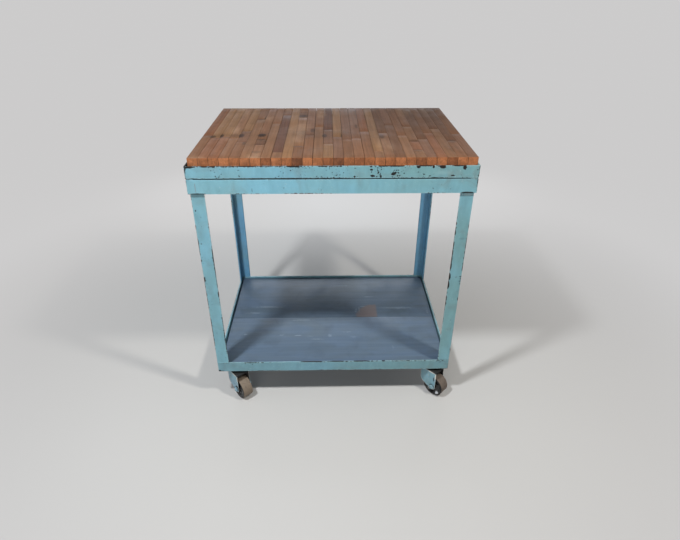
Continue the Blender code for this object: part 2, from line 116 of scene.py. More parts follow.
class Wiring:
    """Short calls for wiring the nodes of one tree."""

    def __init__(self, tree: bpy.types.NodeTree) -> None:
        """Takes the tree to wire.

        Args:
            tree: a material's or a group's node tree.
        """
        self.tree = tree

    def feed(self, socket: bpy.types.NodeSocket, value: Any) -> None:
        """Links an output to a socket, or sets a plain value on it.

        Args:
            socket: the input to feed.
            value: an output socket, a number, a vector or a colour.
        """
        if isinstance(value, bpy.types.NodeSocket):
            self.tree.links.new(value, socket)
        else:
            socket.default_value = value

    def node(self, kind: str, feeds: dict[str | int, Any] | None = None, **settings: Any) -> bpy.types.Node:
        """Adds a node.

        Args:
            kind: Blender's name for the node type.
            feeds: what goes into each of its inputs, by name or index.
            **settings: properties to set on the node.

        Returns:
            The new node.
        """
        made = self.tree.nodes.new(kind)
        for setting, value in settings.items():
            setattr(made, setting, value)
        for socket, value in (feeds or {}).items():
            self.feed(made.inputs[socket], value)
        return made

    def math(self, operation: str, *values: Any, clamp: bool = False) -> bpy.types.NodeSocket:
        """Works out one number from up to three.

        Args:
            operation: Blender's name for the sum.
            *values: outputs or numbers.
            clamp: whether the result is held between 0 and 1.

        Returns:
            The result's socket.
        """
        made = self.node("ShaderNodeMath", dict(enumerate(values)), operation=operation, use_clamp=clamp)
        return made.outputs[0]

    def times(self, first: Any, second: Any) -> bpy.types.NodeSocket:
        """Multiplies two numbers."""
        return self.math("MULTIPLY", first, second)

    def inverse(self, value: Any) -> bpy.types.NodeSocket:
        """Takes a number from 1."""
        return self.math("SUBTRACT", 1.0, value)

    def split(self, vector: Any) -> Any:
        """Gives a vector's three parts."""
        return self.node("ShaderNodeSeparateXYZ", {0: vector}).outputs

    def spread(self, value: Any) -> bpy.types.NodeSocket:
        """Repeats a number as all three parts of a vector."""
        return self.node("ShaderNodeCombineXYZ", {0: value, 1: value, 2: value}).outputs[0]

    def toned(self, colour: Any, depth: Any) -> bpy.types.NodeSocket:
        """Makes a colour darker or lighter by a factor."""
        return self.mix(1.0, colour, self.spread(depth), "MULTIPLY")

    def vector(self, operation: str, *values: Any) -> bpy.types.NodeSocket:
        """Works out a vector, or a length, from up to two vectors.

        Args:
            operation: Blender's name for the sum.
            *values: outputs or vectors.

        Returns:
            The result's socket.
        """
        made = self.node("ShaderNodeVectorMath", dict(enumerate(values)), operation=operation)
        scalar = operation in ("LENGTH", "DISTANCE", "DOT_PRODUCT")
        return made.outputs["Value" if scalar else "Vector"]

    def mix(self, factor: Any, first: Any, second: Any, blend: str = "MIX") -> bpy.types.NodeSocket:
        """Mixes two colours.

        Args:
            factor: how much of the second colour is taken.
            first: a colour or an output.
            second: a colour or an output.
            blend: Blender's name for the way of mixing.

        Returns:
            The mixed colour's socket.
        """
        feeds = {0: factor, 6: first, 7: second}
        return self.node("ShaderNodeMix", feeds, data_type="RGBA", blend_type=blend).outputs[2]

    def lerp(self, factor: Any, first: Any, second: Any) -> bpy.types.NodeSocket:
        """Mixes two numbers: the first where the factor is 0, the second where it is 1."""
        return self.node("ShaderNodeMix", {0: factor, 2: first, 3: second}, data_type="FLOAT").outputs[0]

    def step(self, value: Any, low: Any, high: Any) -> bpy.types.NodeSocket:
        """Rises smoothly from 0 to 1 as the value goes from low to high.

        Args:
            value: the number to judge.
            low: where the result is 0.
            high: where the result is 1.

        Returns:
            The result's socket.
        """
        feeds = {"Value": value, "From Min": low, "From Max": high}
        return self.node("ShaderNodeMapRange", feeds, interpolation_type="SMOOTHSTEP").outputs[0]

    def clouds(
        self, vector: Any, scale: Any, detail: float = 3.0, warp: float = 0.0
    ) -> bpy.types.NodeSocket:
        """Makes noise of about 0.5 on average.

        Args:
            vector: where the noise is read.
            scale: cells to a metre.
            detail: how many finer layers are added.
            warp: how much the noise twists itself.

        Returns:
            The noise value's socket.
        """
        feeds = {"Vector": vector, "Scale": scale, "Detail": detail, "Distortion": warp}
        return self.node("ShaderNodeTexNoise", feeds).outputs[0]

    def stretched(self, vector: Any, factors: Point) -> bpy.types.NodeSocket:
        """Scales a vector by a factor along each axis."""
        return self.vector("MULTIPLY", vector, factors)

    def grouped(self, tree: bpy.types.NodeTree, **feeds: Any) -> bpy.types.Node:
        """Places a shader group.

        Args:
            tree: the group.
            **feeds: what goes into each of its inputs, underscores standing for spaces.

        Returns:
            The group's node, whose outputs go by name.
        """
        made = self.node("ShaderNodeGroup", node_tree=tree)
        for name, value in feeds.items():
            self.feed(made.inputs[name.replace("_", " ")], value)
        return made


class GroupWiring(Wiring):
    """A shader group being made, with named inputs and outputs."""

    def __init__(self, name: str, inputs: dict[str, Socket], outputs: dict[str, Socket]) -> None:
        """Starts a group.

        Args:
            name: the group's name.
            inputs: the kind of each input by name.
            outputs: the kind of each output by name.
        """
        super().__init__(bpy.data.node_groups.new(name, "ShaderNodeTree"))
        for direction, sockets in (("INPUT", inputs), ("OUTPUT", outputs)):
            for label, kind in sockets.items():
                self.tree.interface.new_socket(name=label, in_out=direction, socket_type=kind.value)
        self.given = self.node("NodeGroupInput").outputs
        self.result = self.node("NodeGroupOutput").inputs

    def give(self, **values: Any) -> bpy.types.NodeTree:
        """Feeds the group's outputs.

        Args:
            **values: what each output gives, by name.

        Returns:
            The finished group.
        """
        for name, value in values.items():
            self.feed(self.result[name], value)
        return self.tree


@cache
def section_edges() -> bpy.types.NodeTree:
    """Makes the group that finds the outer edges of a straight bar from the corners of its box.

    Returns:
        The group.
    """
    kinds = {"Vector": Socket.VECTOR, "Low": Socket.VECTOR, "High": Socket.VECTOR, "Reach": Socket.VALUE}
    g = GroupWiring("Section edges", kinds, {"Nearness": Socket.VALUE})
    from_low = g.vector("SUBTRACT", g.given["Vector"], g.given["Low"])
    from_high = g.vector("SUBTRACT", g.given["High"], g.given["Vector"])
    across, deep, up = g.split(g.vector("MINIMUM", from_low, from_high))
    shorter = g.math("MINIMUM", across, deep)
    longer = g.math("MAXIMUM", across, deep)
    first = g.math("MINIMUM", shorter, up)
    second = g.math("MAXIMUM", shorter, g.math("MINIMUM", longer, up))
    squares = g.math("ADD", g.times(first, first), g.times(second, second))
    share = g.math("DIVIDE", g.math("SQRT", squares), g.given["Reach"])
    return g.give(Nearness=g.math("SUBTRACT", 1.0, share, clamp=True))


@cache
def rounded_edges() -> bpy.types.NodeTree:
    """Makes the group that finds sharp edges of any shape.

    Returns:
        The group.
    """
    g = GroupWiring("Rounded edges", {"Reach": Socket.VALUE}, {"Nearness": Socket.VALUE})
    eased = g.node("ShaderNodeBevel", {"Radius": g.given["Reach"]}, samples=6).outputs[0]
    facing = g.node("ShaderNodeNewGeometry").outputs["Normal"]
    turned = g.inverse(g.vector("DOT_PRODUCT", eased, facing))
    return g.give(Nearness=g.step(turned, 0.01, 0.16))


@cache
def flaked_coat() -> bpy.types.NodeTree:
    """Makes the group for paint that flakes off along edges and in freckles.

    Returns:
        The group.
    """
    kinds = {"Vector": Socket.VECTOR, "Edge": Socket.VALUE, "Wear": Socket.VALUE}
    kinds |= {"Freckles": Socket.VALUE, "Scale": Socket.VALUE}
    shown = {"Bare": Socket.VALUE, "Rim": Socket.VALUE}
    g = GroupWiring("Flaked coat", kinds, shown)
    broad = g.clouds(g.given["Vector"], g.given["Scale"], 4.0, 0.6)
    patch = g.clouds(g.vector("ADD", g.given["Vector"], (3.1, 1.7, 0.4)), 9.0, 2.0)
    worn = g.times(g.given["Edge"], g.given["Wear"])
    worn = g.times(worn, g.step(patch, 0.32, 0.68))
    reach = g.math("ADD", broad, worn)
    flaked = g.step(reach, 0.73, 0.76)
    rim = g.step(reach, 0.62, 0.74)
    fine = g.clouds(g.given["Vector"], g.times(g.given["Scale"], 0.8), 2.0)
    cluster = g.clouds(g.vector("ADD", g.given["Vector"], (0.3, 5.7, 2.4)), 14.0, 1.0)
    limit = g.math("SUBTRACT", 0.94, g.times(g.given["Freckles"], cluster))
    dots = g.step(g.math("SUBTRACT", fine, limit), 0.0, 0.03)
    return g.give(Bare=g.math("MAXIMUM", flaked, dots), Rim=g.math("SUBTRACT", rim, flaked, clamp=True))


@cache
def ragged_spot() -> bpy.types.NodeTree:
    """Makes the group for one mark with a ragged outline: a chip, a stain, a rubbed patch.

    Returns:
        The group.
    """
    kinds = {"Vector": Socket.VECTOR, "Centre": Socket.VECTOR, "Size": Socket.VECTOR}
    kinds |= {"Ragged": Socket.VALUE, "Grain": Socket.VALUE, "Softness": Socket.VALUE}
    g = GroupWiring("Ragged spot", kinds, {"Mask": Socket.VALUE})
    share = g.vector("DIVIDE", g.vector("SUBTRACT", g.given["Vector"], g.given["Centre"]), g.given["Size"])
    torn = g.math("SUBTRACT", g.clouds(g.given["Vector"], g.given["Grain"], 3.0), 0.5)
    distance = g.math("ADD", g.vector("LENGTH", share), g.times(torn, g.given["Ragged"]))
    inner = g.inverse(g.given["Softness"])
    return g.give(Mask=g.inverse(g.step(distance, inner, 1.0)))


@cache
def weathering() -> bpy.types.NodeTree:
    """Makes the group for fading and settled dirt that changes over a surface.

    Returns:
        The group.
    """
    shown = {"Fade": Socket.VALUE, "Grime": Socket.VALUE, "Smudge": Socket.VALUE}
    g = GroupWiring("Weathering", {"Vector": Socket.VECTOR, "Scale": Socket.VALUE}, shown)
    place = g.vector("MULTIPLY", g.given["Vector"], g.given["Scale"])
    fade = g.step(g.clouds(place, 5.0, 4.0, 0.4), 0.34, 0.66)
    shifted = g.vector("ADD", place, (7.3, 2.9, 4.1))
    grime = g.times(g.step(g.clouds(shifted, 16.0, 5.0, 0.8), 0.50, 0.74), 0.85)
    smudge = g.clouds(g.stretched(shifted, (1.0, 1.0, 0.35)), 60.0, 3.0)
    return g.give(Fade=fade, Grime=grime, Smudge=smudge)


@cache
def wood_figure() -> bpy.types.NodeTree:
    """Makes the group for the figure of planed wood whose grain runs along the vector's Y.

    Returns:
        The group.
    """
    shown = {"Streak": Socket.VALUE, "Fibre": Socket.VALUE, "Pore": Socket.VALUE, "Relief": Socket.VALUE}
    g = GroupWiring("Wood figure", {"Vector": Socket.VECTOR, "Coarseness": Socket.VALUE}, shown)
    place = g.vector("DIVIDE", g.given["Vector"], g.given["Coarseness"])
    sway = g.math("SUBTRACT", g.clouds(place, 9.0, 1.0), 0.5)
    aside = g.node("ShaderNodeCombineXYZ", {0: g.times(sway, 0.006)}).outputs[0]
    swayed = g.vector("ADD", place, aside)
    streak = g.clouds(g.stretched(swayed, (190.0, 5.0, 190.0)), 1.0, 3.0, 0.5)
    fibre = g.clouds(g.stretched(swayed, (1300.0, 28.0, 1300.0)), 1.0, 3.0)
    pore = g.step(g.clouds(g.stretched(place, (1500.0, 120.0, 1500.0)), 1.0, 1.0), 0.63, 0.70)
    relief = g.math("SUBTRACT", fibre, g.times(pore, 0.8))
    return g.give(Streak=g.step(streak, 0.30, 0.70), Fibre=fibre, Pore=pore, Relief=relief)


class Coat:
    """A material being made: its tree, its principled shader and where its surface is read."""

    def __init__(self, name: str, roughness: float, **plain: float) -> None:
        """Starts a material.

        Args:
            name: the material's name.
            roughness: the roughness shown where nothing is linked to it.
            **plain: other values set on the shader's own sockets, underscores standing for spaces.
        """
        self.material = bpy.data.materials.new(name)
        self.material.use_nodes = True
        self.wires = Wiring(self.material.node_tree)
        self.shader = self.material.node_tree.nodes["Principled BSDF"]
        self.shader.inputs["Roughness"].default_value = roughness
        for socket, value in plain.items():
            self.shader.inputs[socket.replace("_", " ")].default_value = value
        self.place = self.wires.node("ShaderNodeTexCoord").outputs["Object"]

    def finish(self, colour: Any, rough: Any, relief: Any, depth: float) -> bpy.types.Material:
        """Feeds the shader.

        Args:
            colour: the base colour's output.
            rough: the roughness output.
            relief: the height output.
            depth: how deep the relief is, in metres.

        Returns:
            The finished material.
        """
        wires = self.wires
        wires.feed(self.shader.inputs["Base Color"], colour)
        wires.feed(self.shader.inputs["Roughness"], rough)
        bump = wires.node("ShaderNodeBump", {"Height": relief, "Strength": 1.0, "Distance": depth})
        wires.feed(self.shader.inputs["Normal"], bump.outputs[0])
        return self.material


@dataclass(frozen=True)
class AxleLine:
    """The axle of one wheel, from which its finishes and its fork's are measured."""

    centre: Point
    axis: Point

    def across(self, coat: Coat) -> bpy.types.NodeSocket:
        """Measures how far a place is from the wheel's middle plane."""
        away = coat.wires.vector("SUBTRACT", coat.place, self.centre)
        return coat.wires.math("ABSOLUTE", coat.wires.vector("DOT_PRODUCT", away, self.axis))

    def beyond(self, coat: Coat, distance: float, blur: float) -> bpy.types.NodeSocket:
        """Gives the mask of what is further than a distance from the wheel's middle plane."""
        return coat.wires.step(self.across(coat), distance - blur, distance + blur)


# ---------------------------------------------------------------- finishes


class MarkKind(Enum):
    """What a mark on enamel lays bare, paints as shade in the dark steel colour, or leaves."""

    BARE = "bare"
    RUST = "rust"
    PALE = "pale"


@dataclass(frozen=True)
class Mark:
    """One mark on a surface, placed in the cart's own frame."""

    centre: Point
    size: Point
    kind: MarkKind = MarkKind.BARE
    strength: float = 1.0
    ragged: float = 0.9
    grain: float = 260.0
    softness: float = 0.12
    cut_beyond: float | None = None
    softness_of_cut: float = 0.12

    def mask(self, coat: Coat) -> bpy.types.NodeSocket:
        """Places the mark in a material.

        Args:
            coat: the material being made.

        Returns:
            The mark's mask, as strong as the mark is.
        """
        spot = coat.wires.grouped(
            ragged_spot(),
            Vector=coat.place,
            Centre=self.centre,
            Size=self.size,
            Ragged=self.ragged,
            Grain=self.grain,
            Softness=self.softness,
        )
        whole = coat.wires.times(spot.outputs["Mask"], self.strength)
        if self.cut_beyond is None:
            return whole
        across = coat.wires.split(coat.place)[0]
        blurred = self.cut_beyond + self.size[0] * self.softness_of_cut
        past = coat.wires.step(across, self.cut_beyond, blurred)
        return coat.wires.times(whole, coat.wires.inverse(past))


def combined(coat: Coat, marks: Sequence[Mark]) -> bpy.types.NodeSocket:
    """Joins the masks of several marks.

    Args:
        coat: the material being made.
        marks: the marks, at least one.

    Returns:
        The joined mask's socket.
    """
    whole = marks[0].mask(coat)
    for mark in marks[1:]:
        whole = coat.wires.math("MAXIMUM", whole, mark.mask(coat))
    return whole


@dataclass(frozen=True)
class Enamel:
    """Old brushed enamel over dark steel, flaked along its edges."""

    name: str
    coat: Colour = shade(111, 161, 178)
    sunned: Colour = shade(112, 152, 154)
    pale: Colour = shade(158, 186, 190)
    dirt: Colour = shade(104, 108, 98)
    # dark steel where paint has flaked; also the colour of the painted shade marks and of the fork's shaded
    # inside
    steel: Colour = shade(10, 8, 7)
    rust: Colour = shade(120, 78, 52)
    roughness: float = 0.42
    wear: float = 0.55
    reach: float = 0.0042
    freckles: float = 0.30
    scale: float = 210.0
    fading: float = 0.55
    soiling: float = 0.30
    # paling: how much the pale colour lies along every edge, partly rubbed paint and partly painted
    # highlight
    paling: float = 0.20
    greening: float = 0.55
    green_from: float = -0.10
    green_to: float = 0.36
    brushing: Pair = (0.80, 1.18)
    relief: float = 0.00016

    def material(
        self,
        label: str,
        edge_box: tuple[Vector, Vector] | None = None,
        marks: tuple[Mark, ...] = (),
        inside: tuple[AxleLine, float] | None = None,
    ) -> bpy.types.Material:
        """Makes the enamel of one piece.

        Args:
            label: the piece's name, which ends the material's name.
            edge_box: low and high corner of a straight bar, or None to find the edges from the mesh.
            marks: the marks on this piece.
            inside: an axle and how far from its middle the inside of a fork reaches; that inside gets
                painted shade in the dark steel colour.

        Returns:
            The material.
        """
        coat = Coat(f"{self.name}_{label}", self.roughness, Coat_Weight=0.12, Coat_Roughness=0.25)
        w = coat.wires
        if edge_box:
            low, high = edge_box
            bar = {"Vector": coat.place, "Low": low, "High": high, "Reach": self.reach}
            edge = w.grouped(section_edges(), **bar).outputs["Nearness"]
        else:
            edge = w.grouped(rounded_edges(), Reach=self.reach).outputs["Nearness"]
        paint = {"Edge": edge, "Wear": self.wear, "Freckles": self.freckles, "Scale": self.scale}
        flaked = w.grouped(flaked_coat(), Vector=coat.place, **paint).outputs
        aged = w.grouped(weathering(), Vector=coat.place, Scale=1.0).outputs
        bare = flaked["Bare"]
        # bare-steel marks: real chips, and painted shade laid in the same dark colour
        chips = [mark for mark in marks if mark.kind is MarkKind.BARE]
        if chips:
            bare = w.math("MAXIMUM", bare, combined(coat, chips))
        if inside:
            axle, reach = inside
            # painted shade: the fork's inside, between its cheeks, takes the dark steel colour
            inside_shade = w.inverse(axle.beyond(coat, reach, 0.0004))
            bare = w.math("MAXIMUM", bare, inside_shade)
        across = w.split(coat.place)[0]
        greened = w.times(w.step(across, self.green_from, self.green_to), self.greening)
        faded = w.math("ADD", w.times(aged["Fade"], self.fading), greened, clamp=True)
        colour = w.mix(faded, self.coat, self.sunned)
        colour = w.toned(colour, w.lerp(aged["Smudge"], *self.brushing))
        soiled = w.times(aged["Grime"], w.math("ADD", self.soiling, w.times(greened, 0.35)))
        colour = w.mix(soiled, colour, self.dirt)
        # pale along flake rims is rubbed paint; pale along every edge is partly rubbed paint, partly painted
        # highlight
        rubbed_and_highlit = w.math("ADD", w.times(flaked["Rim"], 0.6), w.times(edge, self.paling), clamp=True)
        colour = w.mix(rubbed_and_highlit, colour, self.pale)
        for kind, laid_bare in ((MarkKind.PALE, self.pale), (MarkKind.RUST, self.rust)):
            chosen = [mark for mark in marks if mark.kind is kind]
            if chosen:
                colour = w.mix(combined(coat, chosen), colour, laid_bare)
        colour = w.mix(bare, colour, self.steel)
        rough = w.lerp(aged["Grime"], self.roughness - 0.06, self.roughness + 0.26)
        rough = w.lerp(bare, rough, 0.80)
        brush = w.clouds(w.stretched(coat.place, (1.0, 1.0, 0.6)), 420.0, 2.0)
        height = w.math("SUBTRACT", w.times(brush, 0.35), bare)
        return coat.finish(colour, rough, height, self.relief)


@dataclass(frozen=True)
class BlockWood:
    """Lightly oiled hardwood, its tone painted on each stave, dark stains soaked in, painted shade at the
    back right.
    """

    name: str = "maple_staves"
    # dark colour of stains, pores and grime, and of the painted shade at the back right
    soot_and_shade: Colour = shade(34, 27, 26)
    worn: Colour = shade(176, 148, 122)
    roughness: float = 0.58
    streaks: Pair = (0.84, 1.12)
    fibres: Pair = (0.86, 1.14)
    relief: float = 0.00012

    def material(self, stains: Sequence[Mark], shadowed: Mark) -> bpy.types.Material:
        """Makes the wood of the block.

        Args:
            stains: the stains on its top.
            shadowed: the broad painted shade at the back right.

        Returns:
            The material.
        """
        coat = Coat(self.name, self.roughness, Specular_IOR_Level=0.22)
        w = coat.wires
        tone = w.node("ShaderNodeAttribute", attribute_name=StavePaint.TONE.value).outputs["Color"]
        cut = w.node("ShaderNodeAttribute", attribute_name=StavePaint.CUT.value).outputs["Vector"]
        seed, end_grain, _ = w.split(cut)
        own = w.vector("ADD", coat.place, w.stretched(w.spread(seed), (9.0, 31.0, 5.0)))
        figure = w.grouped(wood_figure(), Vector=own, Coarseness=1.0).outputs
        aged = w.grouped(weathering(), Vector=coat.place, Scale=1.6).outputs
        depth = w.lerp(figure["Streak"], *self.streaks)
        depth = w.times(depth, w.lerp(figure["Fibre"], *self.fibres))
        rings = w.clouds(w.stretched(own, (420.0, 60.0, 150.0)), 1.0, 3.0, 1.2)
        shade_ring = w.lerp(w.step(rings, 0.3, 0.7), 0.70, 1.20)
        patchy = w.lerp(w.step(w.clouds(own, 60.0, 3.0), 0.35, 0.65), 0.80, 1.10)
        colour = w.toned(tone, w.lerp(end_grain, depth, w.times(shade_ring, patchy)))
        use = w.clouds(w.stretched(coat.place, (14.0, 5.0, 5.0)), 1.0, 4.0)
        rub = w.times(w.step(use, 0.52, 0.75), 0.30)
        colour = w.mix(w.times(rub, w.inverse(end_grain)), colour, self.worn)
        colour = w.mix(w.times(aged["Grime"], 0.22), colour, self.soot_and_shade)
        colour = w.mix(w.times(figure["Pore"], 0.30), colour, self.soot_and_shade)
        # painted shade: the back right is darkened towards the soot colour
        colour = w.mix(shadowed.mask(coat), colour, self.soot_and_shade)
        colour = w.mix(combined(coat, stains), colour, self.soot_and_shade)
        rough = w.lerp(aged["Fade"], self.roughness - 0.05, self.roughness + 0.12)
        height = w.math("ADD", figure["Relief"], w.times(figure["Streak"], 0.6))
        return coat.finish(colour, rough, height, self.relief)


@dataclass(frozen=True)
class BoardMarks:
    """What time has done to one board: thin wash, bare knots and pale scuffs."""

    thin: tuple[Mark, ...]
    knots: tuple[Mark, ...]
    scuffs: tuple[Mark, ...]


@dataclass(frozen=True)
class BoardWash:
    """Thin blue-grey wash brushed over softwood, rubbed through in places."""

    name: str = "shelf_wash"
    wash: Colour = shade(81, 99, 120)
    thin: Colour = shade(78, 92, 104)
    worn: Colour = shade(70, 84, 88)
    pale: Colour = shade(150, 166, 180)
    bare: Colour = shade(122, 103, 94)
    dark: Colour = shade(42, 50, 62)
    roughness: float = 0.52
    fibres: Pair = (0.92, 1.08)
    relief: float = 0.00022
    shift: float = 0.37

    def material(self, label: str, marks: BoardMarks) -> bpy.types.Material:
        """Makes the wash of one board.

        Args:
            label: the board's name, which ends the material's name.
            marks: the marks on this board.

        Returns:
            The material.
        """
        coat = Coat(f"{self.name}_{label}", self.roughness, Specular_IOR_Level=0.3)
        w = coat.wires
        quarter = {"Vector": coat.place, "Angle": math.pi / 2}
        along = w.node("ShaderNodeVectorRotate", quarter, rotation_type="Z_AXIS").outputs[0]
        turned = w.vector("ADD", along, (len(label) * self.shift, 0.0, 0.0))
        figure = w.grouped(wood_figure(), Vector=turned, Coarseness=2.2).outputs
        aged = w.grouped(weathering(), Vector=turned, Scale=0.9).outputs
        broad = w.clouds(w.stretched(turned, (15.0, 5.0, 15.0)), 1.0, 4.0, 1.6)
        colour = w.mix(w.times(w.step(broad, 0.30, 0.75), 0.7), self.wash, self.thin)
        colour = w.mix(w.times(figure["Streak"], 0.06), colour, self.pale)
        colour = w.mix(combined(coat, marks.thin), colour, self.worn)
        colour = w.mix(w.times(figure["Pore"], 0.16), colour, self.dark)
        colour = w.mix(w.times(aged["Grime"], 0.20), colour, self.dark)
        colour = w.toned(colour, w.lerp(figure["Fibre"], *self.fibres))
        if marks.knots:
            colour = w.mix(combined(coat, marks.knots), colour, self.bare)
        scraped = w.times(combined(coat, marks.scuffs), w.step(figure["Fibre"], 0.42, 0.58))
        colour = w.mix(scraped, colour, self.pale)
        rough = w.lerp(aged["Fade"], self.roughness - 0.06, self.roughness + 0.14)
        return coat.finish(colour, rough, figure["Relief"], self.relief)


@dataclass(frozen=True)
class Moulding:
    """A moulded or rolled material with scuffs and dust: wheel, tread or plain steel."""

    name: str
    base: Colour
    scuffed: Colour
    roughness: float
    metal: float = 0.0
    gloss: float = 0.0
    scuffing: float = 0.5
    grit: float = 0.0
    depth: float = 0.0001
    shine: float = 0.5
    # pale colour of the marks; on the wheel core it makes a painted highlight
    scraped: Colour = shade(196, 198, 202)
    brushing: Pair = (0.86, 1.12)

    def material(
        self,
        label: str,
        side: tuple[AxleLine, float, Colour] | None = None,
        marks: tuple[Mark, ...] = (),
    ) -> bpy.types.Material:
        """Makes the material.

        Args:
            label: the piece's name, which ends the material's name.
            side: an axle, how far from its middle the side walls start, and their colour.
            marks: pale marks; on the front right wheel's core the one mark is a painted highlight.

        Returns:
            The material.
        """
        plain = {"Metallic": self.metal, "Coat_Weight": self.gloss, "Coat_Roughness": 0.08}
        coat = Coat(f"{self.name}_{label}", self.roughness, Specular_IOR_Level=self.shine, **plain)
        w = coat.wires
        aged = w.grouped(weathering(), Vector=coat.place, Scale=4.0).outputs
        speck = w.step(w.clouds(coat.place, 900.0, 2.0), 0.62, 0.70)
        colour = w.mix(w.times(aged["Grime"], self.scuffing), self.base, self.scuffed)
        colour = w.toned(colour, w.lerp(aged["Smudge"], *self.brushing))
        colour = w.mix(w.times(speck, self.grit), colour, self.scuffed)
        if side:
            axle, reach, wall = side
            colour = w.mix(axle.beyond(coat, reach, 0.0003), colour, wall)
        if marks:
            # the marks laid in the pale colour; on the wheel core this is a painted highlight
            colour = w.mix(combined(coat, marks), colour, self.scraped)
        rough = w.lerp(aged["Grime"], self.roughness, min(1.0, self.roughness + 0.3))
        relief = w.math("ADD", w.clouds(coat.place, 500.0, 3.0), w.times(speck, -0.5))
        return coat.finish(colour, rough, relief, self.depth)


# ---------------------------------------------------------------- making of pieces


class Slot(Enum):
    """The record's material slots."""

    MAPLE = "maple_block"
    PAINT = "turquoise_paint"
    SHELF = "shelf_paint"
    STEEL = "bare_steel"
    CORE = "black_core"
    TREAD = "tan_tread"


class StavePaint(Enum):
    """Names of what is painted on the staves' faces."""

    TONE = "stave_tone"
    CUT = "stave_cut"


def make_piece(
    name: str,
    solid: bmesh.types.BMesh,
    body: str,
    material: bpy.types.Material,
    stands_for: tuple[str, ...] = (),
    crease: float = 35.0,
) -> bpy.types.Object:
    """Turns a bmesh into a piece that rides on a CAD body.

    Args:
        name: the piece's name.
        solid: its mesh, which is freed.
        body: the CAD body it moves with.
        material: its material.
        stands_for: the CAD nodes it replaces.
        crease: edges that turn more than this many degrees stay sharp.

    Returns:
        The piece.
    """
    bmesh.ops.recalc_face_normals(solid, faces=solid.faces)
    for face in solid.faces:
        face.smooth = True
    for edge in solid.edges:
        edge.smooth = len(edge.link_faces) == 2 and edge.calc_face_angle(0.0) < math.radians(crease)
    mesh = bpy.data.meshes.new(name)
    solid.to_mesh(mesh)
    solid.free()
    mesh.materials.append(material)
    piece = bpy.data.objects.new(name, mesh)
    bpy.context.scene.collection.objects.link(piece)
    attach(piece, body)
    if stands_for:
        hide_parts(*stands_for)
    log.info("%s: %d faces, rides on %s", name, len(mesh.polygons), body)
    return piece


def dress(node: str, material: bpy.types.Material) -> None:
    """Gives a CAD node its material.

    Args:
        node: the CAD node's name.
        material: the material it gets.
    """
    for place in frame["nodes"][node].material_slots:
        place.material = material
    log.info("%s: CAD node in %s", node, material.name)


def eased_copy(node: str, ease: float) -> bmesh.types.BMesh:
    """Copies a CAD node's mesh with its sharp edges eased, as bent and filed metal has them.

    Args:
        node: the CAD node's name.
        ease: how wide the eased strip along each sharp edge is.

    Returns:
        The copy.
    """
    solid = bmesh.new()
    solid.from_mesh(frame["nodes"][node].data)
    bmesh.ops.remove_doubles(solid, verts=solid.verts, dist=MERGE)
    flat = math.radians(1.0)
    bmesh.ops.dissolve_limit(solid, angle_limit=flat, verts=solid.verts, edges=solid.edges)
    sharp = [e for e in solid.edges if len(e.link_faces) == 2 and e.calc_face_angle(0.0) > SHARP]
    round_over = {"offset_type": "OFFSET", "segments": 2, "profile": 0.5, "affect": "EDGES"}
    bmesh.ops.bevel(solid, geom=sharp, offset=ease, clamp_overlap=True, **round_over)
    return solid


def add_slab(
    solid: bmesh.types.BMesh, low: Vector, high: Vector, ease: float, cells: int, wander: float
) -> list[bmesh.types.BMFace]:
    """Adds a slab with eased edges whose faces wander a little, as worn wood does.

    Args:
        solid: the mesh to add it to.
        low: its lowest corner.
        high: its highest corner.
        ease: the radius that its edges are eased to.
        cells: how many lengths it is divided into along its longer level side.
        wander: how far inwards the surface wanders.

    Returns:
        The new faces.
    """
    size = high - low
    middle = (low + high) / 2
    axis = 0 if size.x > size.y else 1
    level = 1 - axis
    length = size[axis]
    tips = [(0.0, ease), (0.29 * ease, 0.29 * ease), (ease, 0.0)]
    body = [(ease + (length - 2 * ease) * step / cells, 0.0) for step in range(1, cells)]
    stations = tips + body + [(length - along, inset) for along, inset in reversed(tips)]
    waves = 11.0  # swells of the surface to a metre
    rings = []
    for along, inset in stations:
        half_wide = size[level] / 2 - inset - ease
        half_tall = size.z / 2 - inset - ease
        ring = []
        for side, up, quarter in ((1, 1, 0), (-1, 1, 1), (-1, -1, 2), (1, -1, 3)):
            for part in range(3):
                angle = math.radians(90 * quarter + 45 * part)
                point = Vector((0.0, 0.0, 0.0))
                point[axis] = low[axis] + along
                point[level] = middle[level] + side * half_wide + ease * math.cos(angle)
                point.z = middle.z + up * half_tall + ease * math.sin(angle)
                pull = wander * (0.5 + 0.5 * noise.noise(point * waves))
                point[level] -= side * pull
                point.z -= up * pull
                ring.append(solid.verts.new(point))
        rings.append(ring)
    faces = [solid.faces.new(rings[0]), solid.faces.new(rings[-1][::-1])]
    count = len(rings[0])
    for here, after in zip(rings, rings[1:]):
        for i in range(count):
            j = (i + 1) % count
            faces.append(solid.faces.new((here[j], here[i], after[i], after[j])))
    return faces


def skin(solid: bmesh.types.BMesh, rings: list[list[bmesh.types.BMVert]]) -> None:
    """Joins each ring of points to the next one with faces.

    Args:
        solid: the mesh that the points are in.
        rings: the rings, all with as many points.
    """
    count = len(rings[0])
    for here, after in zip(rings, rings[1:]):
        for i in range(count):
            j = (i + 1) % count
            solid.faces.new((here[i], here[j], after[j], after[i]))


def turned(profile: list[Pair], centre: Vector, axis: Vector, steps: int) -> bmesh.types.BMesh:
    """Turns a closed profile about an axis.

    Args:
        profile: points as (radius, place along the axis), in order round the section.
        centre: the middle of the piece.
        axis: the axis it is turned about.
        steps: how many faces go round.

    Returns:
        The turned ring.
    """
    solid = bmesh.new()
    turn = axis.to_track_quat("Z", "Y")
    rings = []
    for step in range(steps):
        angle = math.tau * step / steps
        outward = Vector((math.cos(angle), math.sin(angle), 0))
        points = [outward * radius + Vector((0, 0, along)) for radius, along in profile]
        rings.append([solid.verts.new(centre + turn @ point) for point in points])
    skin(solid, rings + rings[:1])
    return solid


